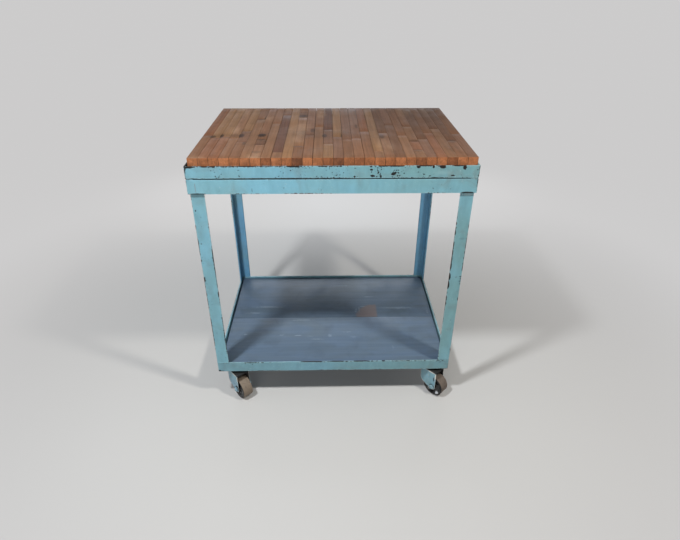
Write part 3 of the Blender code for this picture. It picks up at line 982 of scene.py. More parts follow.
def add_bead(
    solid: bmesh.types.BMesh, start: Vector, end: Vector, radius: float, chance: random.Random
) -> None:
    """Adds a weld bead: a run of overlapping ripples with tapered ends.

    Args:
        solid: the mesh to add it to.
        start: where the run begins.
        end: where it stops.
        radius: half its thickness.
        chance: where its unevenness comes from.
    """
    run = end - start
    length = run.length
    ripple = radius * 1.1
    steps = max(6, round(length / (ripple / 3)))
    turn = run.to_track_quat("Z", "Y")
    sides = 8
    rings = []
    drift = Vector((chance.uniform(-5, 5), chance.uniform(-5, 5), chance.uniform(-5, 5)))
    for step in range(steps + 1):
        share = step / steps
        along = share * length
        taper = min(1.0, math.sqrt(max(0.0, min(along, length - along) / (1.6 * radius))))
        wave = 0.82 + 0.18 * abs(math.sin(math.pi * along / ripple))
        lump = 1.0 + 0.35 * noise.noise(drift + Vector((along * 260, 0, 0)))
        size = radius * max(0.12, taper * wave * lump)
        aside = noise.noise(drift + Vector((0, along * 150, 0)))
        above = noise.noise(drift + Vector((0, 0, along * 150)))
        middle = start + run * share + turn @ (Vector((aside, above, 0)) * radius * 0.35)
        ring = []
        for side in range(sides):
            angle = math.tau * side / sides
            outward = Vector((math.cos(angle) * size, math.sin(angle) * size, 0))
            ring.append(solid.verts.new(middle + turn @ outward))
        rings.append(ring)
    skin(solid, rings)
    solid.faces.new(rings[0][::-1])
    solid.faces.new(rings[-1])


def hold_inside(solid: bmesh.types.BMesh) -> None:
    """Moves points that stand out of the cart's box back onto it.

    Args:
        solid: the mesh to hold inside.
    """
    low, high = (Vector(corner) for corner in CAD_BOX)
    for point in solid.verts:
        point.co = [min(max(value, least), most) for value, least, most in zip(point.co, low, high)]


# ---------------------------------------------------------------- the cart's sub-assemblies


class Tone(Enum):
    """Tones of the staves' long grain."""

    HONEY = shade(120, 89, 64)
    TAN = shade(116, 84, 62)
    BROWN = shade(111, 78, 57)
    RUSSET = shade(113, 76, 55)
    ROSE = shade(110, 80, 63)
    UMBER = shade(100, 71, 53)
    PLUM = shade(92, 65, 53)


class EndTone(Enum):
    """Tones of the staves' end grain, which has taken the oil."""

    AMBER = shade(153, 96, 61)
    ORANGE = shade(141, 87, 54)
    COPPER = shade(127, 77, 48)
    WALNUT = shade(110, 67, 43)


@dataclass(frozen=True)
class Stave:
    """One stave, glued up from lengths: each ends at a share of the depth, counted from the front."""

    end: EndTone
    lengths: tuple[tuple[float, Tone], ...]


STAVES = (
    Stave(EndTone.AMBER, ((0.38, Tone.BROWN), (1.0, Tone.RUSSET))),
    Stave(EndTone.ORANGE, ((0.34, Tone.RUSSET), (1.0, Tone.HONEY))),
    Stave(EndTone.ORANGE, ((0.36, Tone.RUSSET), (1.0, Tone.HONEY))),
    Stave(EndTone.AMBER, ((0.33, Tone.BROWN), (1.0, Tone.TAN))),
    Stave(EndTone.ORANGE, ((0.26, Tone.BROWN), (0.46, Tone.ROSE), (1.0, Tone.HONEY))),
    Stave(EndTone.AMBER, ((0.715, Tone.TAN), (1.0, Tone.BROWN))),
    Stave(EndTone.AMBER, ((0.215, Tone.BROWN), (0.30, Tone.UMBER), (1.0, Tone.BROWN))),
    Stave(EndTone.COPPER, ((0.62, Tone.TAN), (1.0, Tone.BROWN))),
    Stave(EndTone.AMBER, ((0.085, Tone.TAN), (0.82, Tone.PLUM), (1.0, Tone.ROSE))),
    Stave(EndTone.ORANGE, ((1.0, Tone.HONEY),)),
    Stave(EndTone.WALNUT, ((0.19, Tone.BROWN), (0.76, Tone.TAN), (0.87, Tone.UMBER), (1.0, Tone.BROWN))),
    Stave(EndTone.AMBER, ((0.38, Tone.BROWN), (1.0, Tone.ROSE))),
    Stave(EndTone.AMBER, ((0.55, Tone.TAN), (1.0, Tone.BROWN))),
    Stave(EndTone.COPPER, ((0.22, Tone.HONEY), (0.49, Tone.ROSE), (1.0, Tone.PLUM))),
    Stave(EndTone.WALNUT, ((0.35, Tone.ROSE), (1.0, Tone.HONEY))),
    Stave(EndTone.ORANGE, ((0.30, Tone.BROWN), (1.0, Tone.ROSE))),
    Stave(EndTone.COPPER, ((0.32, Tone.BROWN), (1.0, Tone.ROSE))),
    Stave(EndTone.ORANGE, ((0.45, Tone.BROWN), (1.0, Tone.RUSSET))),
    Stave(EndTone.AMBER, ((0.10, Tone.TAN), (1.0, Tone.HONEY))),
    Stave(EndTone.ORANGE, ((0.42, Tone.BROWN), (1.0, Tone.UMBER))),
    Stave(EndTone.AMBER, ((0.58, Tone.UMBER), (1.0, Tone.ROSE))),
    Stave(EndTone.ORANGE, ((0.37, Tone.TAN), (1.0, Tone.BROWN))),
    Stave(EndTone.COPPER, ((0.12, Tone.TAN), (0.26, Tone.RUSSET), (0.55, Tone.TAN), (1.0, Tone.BROWN))),
    Stave(EndTone.ORANGE, ((0.30, Tone.ROSE), (1.0, Tone.UMBER))),
    Stave(EndTone.AMBER, ((0.42, Tone.RUSSET), (1.0, Tone.BROWN))),
    Stave(EndTone.COPPER, ((0.50, Tone.TAN), (1.0, Tone.UMBER))),
    Stave(EndTone.AMBER, ((0.27, Tone.BROWN), (1.0, Tone.UMBER))),
    Stave(EndTone.AMBER, ((0.40, Tone.ROSE), (1.0, Tone.BROWN))),
)


@dataclass
class ButcherBlock:
    """The block: staves on edge, each glued up from lengths with butt joints."""

    arris: float = 0.0006
    joint: float = 0.00036
    sanding: float = 0.00016
    low_step: float = 0.00035
    end_step: float = 0.0006
    cells: int = 7
    gaps: tuple[float, ...] = (0.8, 1.0, 1.3, 2.2, 3.2)
    spread: float = 1.5
    stain_depth: float = 0.004
    halo_above: float = 0.5
    halo_width: float = 0.015
    seed: int = 28

    def build(self) -> None:
        """Makes the staves and gives them their wood."""
        low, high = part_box("butcher_block")
        chance = random.Random(self.seed)
        solid = bmesh.new()
        layers = [solid.loops.layers.float_color.new(paint.value) for paint in StavePaint]
        width = (high.x - low.x) / len(STAVES)
        depth = high.y - low.y
        for index, stave in enumerate(STAVES):
            left = low.x + index * width
            step_in = chance.uniform(0, self.end_step)
            front = low.y + step_in
            gap = self.joint * chance.choice(self.gaps)
            for share, tone in stave.lengths:
                back = low.y + depth * share - (chance.uniform(0, self.end_step) if share == 1.0 else 0.0)
                corner = Vector((left + gap / 2, front, low.z))
                top = high.z - chance.uniform(0, self.low_step)
                far = Vector((left + width - gap / 2, back - self.joint, top))
                faces = add_slab(solid, corner, far, self.arris, self.cells, self.sanding)
                self.paint(faces, layers, (tone.value, stave.end.value), chance)
                front = back + self.joint / 2
        material = BlockWood().material(self.stains(low, high), self.shadowed_corner(high))
        make_piece("butcher_block_staves", solid, "frame", material, ("butcher_block",))

    def paint(
        self,
        faces: list[bmesh.types.BMFace],
        layers: list[bmesh.types.BMLayerItem],
        tones: tuple[Colour, Colour],
        chance: random.Random,
    ) -> None:
        """Paints one length's tone, its own seed and its end grain on its faces.

        Args:
            faces: the length's faces.
            layers: the layer for the tone, and the one for the seed and for whether a face is end grain.
            tones: the tone of its long grain and that of its end grain.
            chance: where the seed comes from.
        """
        tone_layer, cut_layer = layers
        seed = chance.random()
        vary = chance.uniform(0.93, 1.07)
        for face in faces:
            face.normal_update()
            on_end = abs(face.normal.y) > 0.6
            level = tones[on_end]
            for loop in face.loops:
                loop[tone_layer] = (level[0] * vary, level[1] * vary, level[2] * vary, 1.0)
                loop[cut_layer] = (seed, float(on_end), 0.0, 1.0)

    def stains(self, low: Vector, high: Vector) -> list[Mark]:
        """Lists the dark stains: a row a third of the way back, and some at butt joints.

        Args:
            low: the block's lowest corner.
            high: its highest corner.

        Returns:
            The marks.
        """
        width, depth = high.x - low.x, high.y - low.y
        # share of the width, share of the depth, half width, half length, strength
        spots = (
            (0.041, 0.358, 0.009, 0.012, 0.75),
            (0.074, 0.372, 0.005, 0.016, 0.80),
            (0.121, 0.381, 0.010, 0.015, 0.40),
            (0.147, 0.377, 0.008, 0.018, 0.80),
            (0.158, 0.443, 0.016, 0.026, 0.25),
            (0.172, 0.236, 0.004, 0.014, 0.50),
            (0.226, 0.382, 0.011, 0.015, 0.92),
            (0.229, 0.300, 0.013, 0.005, 0.70),
            (0.229, 0.218, 0.013, 0.004, 0.60),
            (0.229, 0.092, 0.012, 0.009, 0.35),
            (0.196, 0.718, 0.014, 0.002, 0.85),
            (0.212, 0.750, 0.0016, 0.020, 0.70),
            (0.374, 0.795, 0.013, 0.016, 0.62),
            (0.414, 0.385, 0.013, 0.016, 0.35),
            (0.421, 0.474, 0.007, 0.020, 0.62),
            (0.468, 0.371, 0.007, 0.016, 0.80),
            (0.478, 0.490, 0.014, 0.002, 0.80),
            (0.534, 0.371, 0.002, 0.022, 0.70),
            (0.597, 0.556, 0.004, 0.022, 0.55),
            (0.689, 0.357, 0.007, 0.021, 0.60),
            (0.805, 0.272, 0.013, 0.012, 0.42),
            (0.802, 0.110, 0.012, 0.010, 0.30),
            (0.947, 0.262, 0.011, 0.013, 0.45),
            (0.372, 0.180, 0.012, 0.006, 0.35),
            (0.09, 0.372, 0.060, 0.022, 0.20),
            (0.45, 0.40, 0.090, 0.040, 0.18),
            (0.235, 0.35, 0.016, 0.050, 0.22),
        )
        marks = []
        for across, back, wide, long, dark in spots:
            place = (low.x + across * width, low.y + back * depth, high.z)
            size = (wide * self.spread, long * self.spread, self.stain_depth)
            marks.append(Mark(place, size, strength=dark, ragged=1.1, grain=300, softness=0.5))
            if dark > self.halo_above:
                halo = (min(wide * 1.7, self.halo_width), long * 1.8, self.stain_depth)
                marks.append(Mark(place, halo, strength=dark * 0.38, ragged=0.9, grain=160, softness=0.8))
        return marks

    def shadowed_corner(self, high: Vector) -> Mark:
        """Gives the broad painted shade at the back right.

        Args:
            high: the block's highest corner.

        Returns:
            The mark.
        """
        place = (high.x + 0.02, high.y, high.z)
        return Mark(place, (0.62, 0.62, 0.3), strength=0.40, ragged=0.5, grain=8, softness=0.95)


# place across, height, half width, half height
LEFT_LEG_CHIPS: tuple[Row, ...] = (
    (-0.3846, 0.6065, 0.0014, 0.0014),
    (-0.3925, 0.5500, 0.0016, 0.0034),
    (-0.3920, 0.4860, 0.0018, 0.0050),
    (-0.3895, 0.4790, 0.0016, 0.0020),
    (-0.3930, 0.6620, 0.0010, 0.0060),
    (-0.3565, 0.4300, 0.0012, 0.0100),
    (-0.3565, 0.2500, 0.0012, 0.0060),
    (-0.3930, 0.3300, 0.0012, 0.0060),
)
RIGHT_LEG_CHIPS: tuple[Row, ...] = (
    (0.3562, 0.6670, 0.0012, 0.0040),
    (0.3562, 0.6355, 0.0014, 0.0060),
    (0.3560, 0.5980, 0.0012, 0.0060),
    (0.3560, 0.5740, 0.0015, 0.0050),
    (0.3560, 0.5500, 0.0017, 0.0060),
    (0.3560, 0.5213, 0.0020, 0.0110),
    (0.3560, 0.4860, 0.0028, 0.0110),
    (0.3560, 0.4560, 0.0024, 0.0140),
    (0.3560, 0.4100, 0.0012, 0.0060),
    (0.3935, 0.6582, 0.0010, 0.0070),
    (0.3928, 0.5519, 0.0016, 0.0024),
    (0.3932, 0.5100, 0.0014, 0.0040),
    (0.3906, 0.4870, 0.0020, 0.0018),
    (0.3925, 0.4790, 0.0018, 0.0022),
    (0.3912, 0.4699, 0.0020, 0.0018),
    (0.3918, 0.4602, 0.0018, 0.0016),
    (0.3932, 0.4036, 0.0012, 0.0060),
)

# place across, distance down from the tray's top edge, half width, half height
TRAY_CHIPS: tuple[Row, ...] = (
    (-0.398, 0.004, 0.005, 0.0070),
    (-0.399, 0.016, 0.003, 0.0080),
    (-0.385, 0.002, 0.010, 0.0030),
    (0.3985, 0.008, 0.0022, 0.0060),
    (0.3985, 0.020, 0.0018, 0.0030),
    (0.3930, 0.012, 0.0016, 0.0016),
    (0.3975, 0.028, 0.0024, 0.0024),
    (-0.345, 0.001, 0.010, 0.0016),
    (-0.320, 0.001, 0.005, 0.0026),
    (-0.229, 0.000, 0.026, 0.0014),
    (-0.112, 0.001, 0.012, 0.0022),
    (-0.095, 0.001, 0.006, 0.0024),
    (0.0589, 0.0300, 0.0028, 0.0026),
    (0.1026, 0.0020, 0.0036, 0.0018),
    (0.1040, 0.0105, 0.0046, 0.0022),
    (0.1080, 0.0280, 0.0060, 0.0030),
    (0.1300, 0.0295, 0.0028, 0.0038),
    (0.1380, 0.0005, 0.018, 0.0016),
    (0.1640, 0.0225, 0.0064, 0.0040),
    (0.1690, 0.0190, 0.0040, 0.0024),
    (0.1760, 0.0280, 0.0020, 0.0018),
    (0.1740, 0.0005, 0.020, 0.0018),
    (0.2316, 0.0035, 0.0056, 0.0032),
    (0.2500, 0.0005, 0.022, 0.0012),
    (0.2720, 0.0030, 0.0034, 0.0036),
    (0.2974, 0.0032, 0.0084, 0.0042),
    (0.3400, 0.0004, 0.016, 0.0014),
    (0.3570, 0.0050, 0.0050, 0.0060),
    (0.3262, 0.0278, 0.0056, 0.0018),
)

# place across, half width, half height
SHELF_EDGE_CHIPS: tuple[Point, ...] = (
    (-0.075, 0.042, 0.0011),
    (0.012, 0.026, 0.0009),
    (0.094, 0.030, 0.0012),
    (0.17, 0.006, 0.0022),
)

# place across, distance down from the shelf rail's top edge
SHELF_SPECKS: tuple[Pair, ...] = (
    (-0.300, 0.004),
    (-0.283, 0.002),
    (-0.277, 0.007),
    (-0.240, 0.002),
    (0.352, 0.003),
    (0.365, 0.008),
)


@dataclass
class SteelFrame:
    """The welded angle frame: tray, top frame, legs and shelf frame, all CAD nodes in old enamel."""

    tray: Enamel = Enamel("tray_enamel", wear=0.54, freckles=0.54)
    top: Enamel = Enamel(
        "top_frame_enamel",
        coat=shade(116, 169, 187),
        sunned=shade(115, 158, 164),
        wear=0.32,
        freckles=0.32,
    )
    leg: Enamel = Enamel(
        "leg_enamel",
        coat=shade(118, 170, 188),
        sunned=shade(110, 152, 158),
        wear=0.52,
        freckles=0.40,
        scale=190.0,
    )
    shelf: Enamel = Enamel(
        "shelf_frame_enamel",
        coat=shade(106, 151, 168),
        sunned=shade(104, 144, 152),
        wear=0.38,
        freckles=0.30,
    )
    back_leg: Enamel = Enamel(
        "back_leg_enamel",
        coat=shade(100, 156, 190),
        wear=0.44,
        freckles=0.30,
        greening=0.0,
    )
    depth: float = 0.01

    def build(self) -> None:
        """Gives each rail and leg its enamel."""
        levels = (("tray_rail", self.tray), ("top_rail", self.top), ("shelf_rail", self.shelf))
        for prefix, enamel in levels:
            for side in ("front", "right", "back", "left"):
                node = f"{prefix}_{side}"
                dress(node, enamel.material(node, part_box(node), self.marks_on(node)))
        for corner in CORNERS:
            node = f"leg_{corner}"
            enamel = self.leg if "front" in corner else self.back_leg
            dress(node, enamel.material(node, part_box(node), self.marks_on(node)))

    def marks_on(self, node: str) -> tuple[Mark, ...]:
        """Lists the marks that one bar carries on its outer face.

        Args:
            node: the CAD node's name.

        Returns:
            The marks, which may be none.
        """
        low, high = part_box(node)
        listed = {
            "tray_rail_front": self.tray_marks,
            "tray_rail_left": self.tray_end_marks,
            "top_rail_front": self.top_marks,
            "shelf_rail_front": self.shelf_marks,
            "leg_front_left": self.left_leg_marks,
            "leg_front_right": self.right_leg_marks,
        }
        return listed[node](low, high) if node in listed else ()

    def tray_marks(self, low: Vector, high: Vector) -> tuple[Mark, ...]:
        """Lists the chips on the front of the tray, the painted shadow of the slot along its bottom edge,
        and one rubbed place.

        Args:
            low: the rail's lowest corner.
            high: its highest corner.

        Returns:
            The marks.
        """
        marks = []
        for x, down, wide, tall in TRAY_CHIPS:
            marks.append(Mark((x, low.y, high.z - down), (wide * 1.05, self.depth, tall * 1.2)))
        # painted shadow of the slot along the tray's bottom edge
        marks.extend(self.slot_shadow(low.y, low.z))
        place, size = (0.30, low.y, high.z - 0.020), (0.05, self.depth, 0.008)
        marks.append(Mark(place, size, MarkKind.PALE, 0.22, ragged=1.6, grain=90, softness=0.9))
        return tuple(marks)

    def tray_end_marks(self, low: Vector, high: Vector) -> tuple[Mark, ...]:
        """Lists the one large chip at the front end of the tray's left rail.

        Args:
            low: the rail's lowest corner.
            high: its highest corner.

        Returns:
            The mark.
        """
        place = (low.x + 0.002, low.y + 0.012, high.z)
        return (Mark(place, (0.010, 0.030, 0.0060), ragged=1.0, grain=220),)

    def top_marks(self, low: Vector, high: Vector) -> tuple[Mark, ...]:
        """Lists the marks on the front of the top frame: rust at its seam, a scuff, the slot's painted
        shadow, bare edges and corners.

        Args:
            low: the rail's lowest corner.
            high: its highest corner.

        Returns:
            The marks.
        """
        face, depth = low.y, self.depth
        middle = (low.z + high.z) / 2
        seam = Mark((low.x + 0.0225, face, middle - 0.003), (0.0009, depth, 0.016), MarkKind.RUST, 0.6)
        scuff = Mark((-0.222, face, low.z + 0.011), (0.0014, depth, 0.006), strength=0.5)
        over_left = Mark((-0.375, face, low.z + 0.0008), (0.024, depth, 0.0018), ragged=1.1, grain=420)
        over_right = Mark((0.374, face, low.z + 0.0010), (0.020, depth, 0.0028), ragged=1.0, grain=380)
        corner = Mark((high.x, face, high.z - 0.014), (0.0026, depth, 0.0140), ragged=1.5, grain=300)
        return (seam, scuff, *self.slot_shadow(face, high.z), over_left, over_right, corner)

    def shelf_marks(self, low: Vector, high: Vector) -> tuple[Mark, ...]:
        """Lists the chips on the front of the shelf frame: along its top edge, at its left foot, and specks.

        Args:
            low: the rail's lowest corner.
            high: its highest corner.

        Returns:
            The marks.
        """
        marks = []
        for x, wide, tall in SHELF_EDGE_CHIPS:
            marks.append(Mark((x, low.y + 0.001, high.z), (wide, 0.004, tall)))
        marks.append(Mark((low.x + 0.012, low.y, low.z + 0.0015), (0.009, self.depth, 0.0022)))
        marks.append(Mark((low.x + 0.004, low.y, low.z + 0.0030), (0.0050, self.depth, 0.0040)))
        for x, down in SHELF_SPECKS:
            place = (x, low.y, high.z - down)
            marks.append(Mark(place, (0.0019, self.depth, 0.0018), ragged=1.4, grain=400))
        return tuple(marks)

    def leg_chips(self, face: float, chips: Sequence[Row]) -> tuple[Mark, ...]:
        """Places the chips of one front leg.

        Args:
            face: where the leg's front face is.
            chips: the chips.

        Returns:
            The marks.
        """
        marks = []
        for x, z, wide, tall in chips:
            marks.append(Mark((x, face, z), (wide * 1.7, 0.006, tall * 1.1), ragged=1.2, grain=420))
        return tuple(marks)

    def left_leg_marks(self, low: Vector, high: Vector) -> tuple[Mark, ...]:
        """Lists the chips on the front left leg."""
        return self.leg_chips(low.y, LEFT_LEG_CHIPS)

    def right_leg_marks(self, low: Vector, high: Vector) -> tuple[Mark, ...]:
        """Lists the chips on the front right leg, a pale rub at its top and a faint painted shadow.

        Args:
            low: the leg's lowest corner.
            high: its highest corner.

        Returns:
            The marks.
        """
        rub = {"kind": MarkKind.PALE, "strength": 0.85, "ragged": 1.9, "grain": 420, "softness": 0.3}
        pale = Mark((0.377, low.y, 0.7570), (0.018, self.depth, 0.0040), **rub)
        # painted shadow: a soft, faint smudge of the dark steel colour
        shade_spread = {"strength": 0.22, "ragged": 0.8, "grain": 90, "softness": 0.9}
        shade_smudge = Mark((0.379, low.y, 0.6180), (0.012, self.depth, 0.0060), **shade_spread)
        return (*self.leg_chips(low.y, RIGHT_LEG_CHIPS), pale, shade_smudge)

    def slot_shadow(self, face: float, level: float) -> tuple[Mark, Mark]:
        """Lists the painted shadow of the front slot, laid on in the dark steel colour, wider on the left.

        Args:
            face: where the front face is.
            level: the height of the edge.

        Returns:
            The marks.
        """
        # painted shadow: dark steel colour along the slot's edge
        left = Mark((-0.185, face, level), (0.200, self.depth, 0.0019), ragged=0.30, grain=120)
        right = Mark((0.20, face, level), (0.172, self.depth, 0.0010), ragged=0.5, grain=160)
        return left, right


@dataclass
class Welds:
    """Weld metal left rough: fillets at the legs' tops and feet, and runs up the mitred corners."""

    enamel: Enamel = Enamel(
        "weld_enamel",
        wear=0.34,
        reach=0.0015,
        freckles=0.8,
        scale=420.0,
        soiling=0.6,
        # strong paling: the pale edges of the beads are partly painted highlight
        paling=0.6,
    )
    fillet: float = 0.0022
    foot: float = 0.0016
    mitre: float = 0.0011
    mitre_lift: float = 0.0012
    stitch: float = 0.0019
    stitch_pitch: float = 0.18
    stitch_length: float = 0.007
    end_length: float = 0.016
    end_inset: float = 0.0115
    leg_seed: int = 40
    stitch_seed: int = 60

    def build(self) -> None:
        """Makes the beads, one piece for each corner and one for each side's row of stitches."""
        material = self.enamel.material("beads")
        for number, corner in enumerate(CORNERS):
            chance = random.Random(self.leg_seed + number)
            solid = bmesh.new()
            self.leg_beads(solid, corner, chance)
            self.corner_beads(solid, corner, chance)
            hold_inside(solid)
            make_piece(f"weld_beads_{corner}", solid, "frame", material, crease=80)
        for number, side in enumerate(("front", "back", "left", "right")):
            solid = bmesh.new()
            self.stitches(solid, side, random.Random(self.stitch_seed + number))
            hold_inside(solid)
            make_piece(f"stitch_welds_{side}", solid, "frame", material, crease=80)

    def leg_beads(self, solid: bmesh.types.BMesh, corner: str, chance: random.Random) -> None:
        """Adds the fillets where a leg meets the frames over and under it.

        Args:
            solid: the mesh to add them to.
            corner: which corner.
            chance: where their unevenness comes from.
        """
        low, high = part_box(f"leg_{corner}")
        out_x, in_x = (low.x, high.x) if "left" in corner else (high.x, low.x)
        out_y, in_y = (low.y, high.y) if "front" in corner else (high.y, low.y)
        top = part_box("top_rail_front")[0].z
        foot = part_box("shelf_rail_front")[1].z
        for level, size in ((top - self.fillet * 0.25, self.fillet), (foot + 0.0002, self.foot)):
            proud = size * 0.15
            face_y = out_y + math.copysign(proud, out_y)
            face_x = out_x + math.copysign(proud, out_x)
            begin_x = out_x - math.copysign(size, out_x)
            begin_y = out_y - math.copysign(size, out_y)
            add_bead(solid, Vector((begin_x, face_y, level)), Vector((in_x, face_y, level)), size, chance)
            add_bead(solid, Vector((face_x, begin_y, level)), Vector((face_x, in_y, level)), size, chance)

    def corner_beads(self, solid: bmesh.types.BMesh, corner: str, chance: random.Random) -> None:
        """Adds the runs up the mitred corners of the tray, the top frame and the shelf frame.

        Args:
            solid: the mesh to add them to.
            corner: which corner.
            chance: where their unevenness comes from.
        """
        inset = self.mitre * 0.75
        for prefix in ("tray_rail", "top_rail", "shelf_rail"):
            low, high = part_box(f"{prefix}_front")
            side_low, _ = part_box(f"{prefix}_left")
            x = (side_low.x + inset) if "left" in corner else -(side_low.x + inset)
            y = (low.y + inset) if "front" in corner else -(low.y + inset)
            foot = Vector((x, y, low.z + self.mitre_lift))
            head = Vector((x, y, high.z - self.mitre_lift))
            add_bead(solid, foot, head, self.mitre, chance)

    def stitches(self, solid: bmesh.types.BMesh, side: str, chance: random.Random) -> None:
        """Adds the lumps of weld metal that bridge the slot between the tray and the top frame.

        Args:
            solid: the mesh to add them to.
            side: which side.
            chance: where their unevenness comes from.
        """
        low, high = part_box(f"top_rail_{side}")
        level = high.z - 0.0010
        axis = 0 if side in ("front", "back") else 1
        half = (high[axis] - low[axis]) / 2
        pitch = self.stitch_pitch
        places = [0.0, pitch, -pitch] if axis == 0 else [pitch / 2, -pitch / 2]
        face = {"front": low.y, "back": high.y, "left": low.x, "right": high.x}[side]
        face -= math.copysign(self.stitch * 0.62, face)
        ends = half - self.end_inset
        runs = [(place, self.stitch_length) for place in places]
        runs += [(ends, self.end_length), (-ends, self.end_length)]
        for place, length in runs:
            for share in (-0.5, 0.5):
                start = Vector((face, face, level))
                start[axis] = place + (share - 0.5) * length / 2
                end = start.copy()
                end[axis] = place + (share + 0.5) * length / 2
                start.z += chance.uniform(-0.0003, 0.0003)
                add_bead(solid, start, end, self.stitch * chance.uniform(0.9, 1.1), chance)


@dataclass
class ShelfBoards:
    """The shelf's two boards, loose on the frame's flanges."""

    arris: float = 0.0013
    wander: float = 0.0004
    cells: int = 16

    def build(self) -> None:
        """Makes both boards and gives them their wash."""
        for side in ("front", "back"):
            low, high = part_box(f"shelf_board_{side}")
            solid = bmesh.new()
            add_slab(solid, low, high, self.arris, self.cells, self.wander)
            marks = self.front_marks(high) if side == "front" else self.back_marks(low, high)
            material = BoardWash().material(side, marks)
            node = f"shelf_board_{side}"
            make_piece(f"washed_board_{side}", solid, "frame", material, (node,))

    def scrapes(
        self, rows: Sequence[Row], top: float, strength: float, ragged: float, grain: float
    ) -> tuple[Mark, ...]:
        """Places pale scrapes on a board.

        Args:
            rows: place across, place along the depth, half width and half length of each.
            top: the height of the board's top.
            strength: how plainly they show.
            ragged: how torn their outlines are.
            grain: how fine the tearing is, in cells to a metre.

        Returns:
            The marks.
        """
        made = []
        for x, y, wide, long in rows:
            made.append(Mark((x, y, top), (wide, long, 0.01), MarkKind.PALE, strength, ragged, grain, 0.7))
        return tuple(made)

    def front_marks(self, high: Vector) -> BoardMarks:
        """Lists the marks on the front board.

        Args:
            high: the board's highest corner.

        Returns:
            The board's marks.
        """
        scraped = (
            (-0.19, -0.125, 0.012, 0.004),
            (-0.13, -0.128, 0.016, 0.005),
            (-0.085, -0.133, 0.014, 0.004),
            (-0.012, -0.130, 0.010, 0.012),
            (0.075, -0.138, 0.018, 0.005),
            (-0.322, -0.118, 0.008, 0.006),
            (0.212, -0.200, 0.004, 0.010),
            (0.050, -0.110, 0.020, 0.003),
            (-0.120, -0.035, 0.060, 0.006),
            (-0.060, -0.150, 0.030, 0.003),
        )
        place = (-0.14, high.y - 0.02, high.z)
        thin = Mark(place, (0.09, 0.035, 0.02), strength=0.22, ragged=1.2, grain=40, softness=0.9)
        return BoardMarks((thin,), (), self.scrapes(scraped, high.z, 0.42, 1.8, 160))

    def back_marks(self, low: Vector, high: Vector) -> BoardMarks:
        """Lists the marks on the back board: a rubbed middle and one bare knot cut off by a straight edge.

        Args:
            low: the board's lowest corner.
            high: its highest corner.

        Returns:
            The board's marks.
        """
        top = high.z
        streaky = {"strength": 0.30, "ragged": 1.6, "grain": 30, "softness": 0.9}
        broad = {"strength": 0.20, "ragged": 1.3, "grain": 22, "softness": 0.95}
        thin = (
            Mark((-0.045, 0.08, top), (0.19, 0.11, 0.05), **broad),
            Mark((-0.26, 0.04, top), (0.12, 0.03, 0.02), **streaky),
            Mark((0.27, 0.02, top), (0.10, 0.016, 0.02), **streaky),
        )
        cut = {"ragged": 0.30, "grain": 40, "softness": 0.16, "cut_beyond": 0.166}
        knot = Mark((0.172, low.y + 0.006, top), (0.086, 0.082, 0.02), strength=0.60, **cut)
        scraped = (
            (0.104, 0.035, 0.003, 0.028),
            (0.118, 0.052, 0.014, 0.003),
            (0.092, 0.030, 0.003, 0.012),
            (0.090, 0.020, 0.006, 0.006),
            (0.370, 0.012, 0.006, 0.014),
            (-0.25, 0.055, 0.085, 0.008),
            (-0.31, 0.015, 0.045, 0.007),
            (0.250, 0.040, 0.090, 0.008),
            (0.030, 0.205, 0.060, 0.004),
            (0.150, 0.120, 0.030, 0.004),
        )
        return BoardMarks(thin, (knot,), self.scrapes(scraped, top, 0.38, 1.6, 120))


@dataclass(frozen=True)
class CasterFinishes:
    """The finishes of a caster's pieces."""

    fork: Enamel = Enamel(
        "fork_enamel",
        coat=shade(118, 157, 179),
        pale=shade(214, 208, 196),
        wear=0.36,
        reach=0.0042,
        paling=0.9,
        greening=0.0,
    )
    bolt: Enamel = Enamel(
        "bolt_enamel",
        coat=shade(116, 152, 172),
        pale=shade(200, 200, 192),
        wear=0.3,
        reach=0.002,
        paling=0.8,
        greening=0.0,
    )
    plate: Enamel = Enamel("plate_enamel", wear=0.4, reach=0.0014, freckles=0.5)
    core: Moulding = Moulding(
        "wheel_core_gloss",
        base=shade(13, 13, 14),
        scuffed=shade(60, 55, 50),
        roughness=0.14,
        gloss=0.25,
        scuffing=0.22,
        depth=0.00003,
        shine=0.35,
    )
    tread: Moulding = Moulding(
        "tread_tan",
        base=shade(121, 107, 92),
        scuffed=shade(88, 77, 68),
        roughness=0.72,
        scuffing=0.65,
        grit=0.35,
        depth=0.00018,
    )
    soiled_tread: Moulding = Moulding(
        "tread_soiled",
        base=shade(103, 91, 81),
        scuffed=shade(78, 68, 60),
        roughness=0.76,
        scuffing=0.8,
        grit=0.40,
        depth=0.00018,
    )
    steel: Moulding = Moulding(
        "plain_steel",
        base=shade(104, 96, 88),
        scuffed=shade(58, 44, 34),
        roughness=0.42,
        metal=0.85,
        scuffing=0.8,
        depth=0.00008,
    )
    tread_wall: Colour = shade(24, 22, 22)
    # how far from the wheel's middle the fork's inside, with its painted shade, reaches
    fork_shade_reach: float = 0.0226


def joint_of(body: str) -> dict[str, Any]:
    """Finds the joint that carries a body."""
    return next(joint for joint in frame["joints"] if joint["child"] == body)


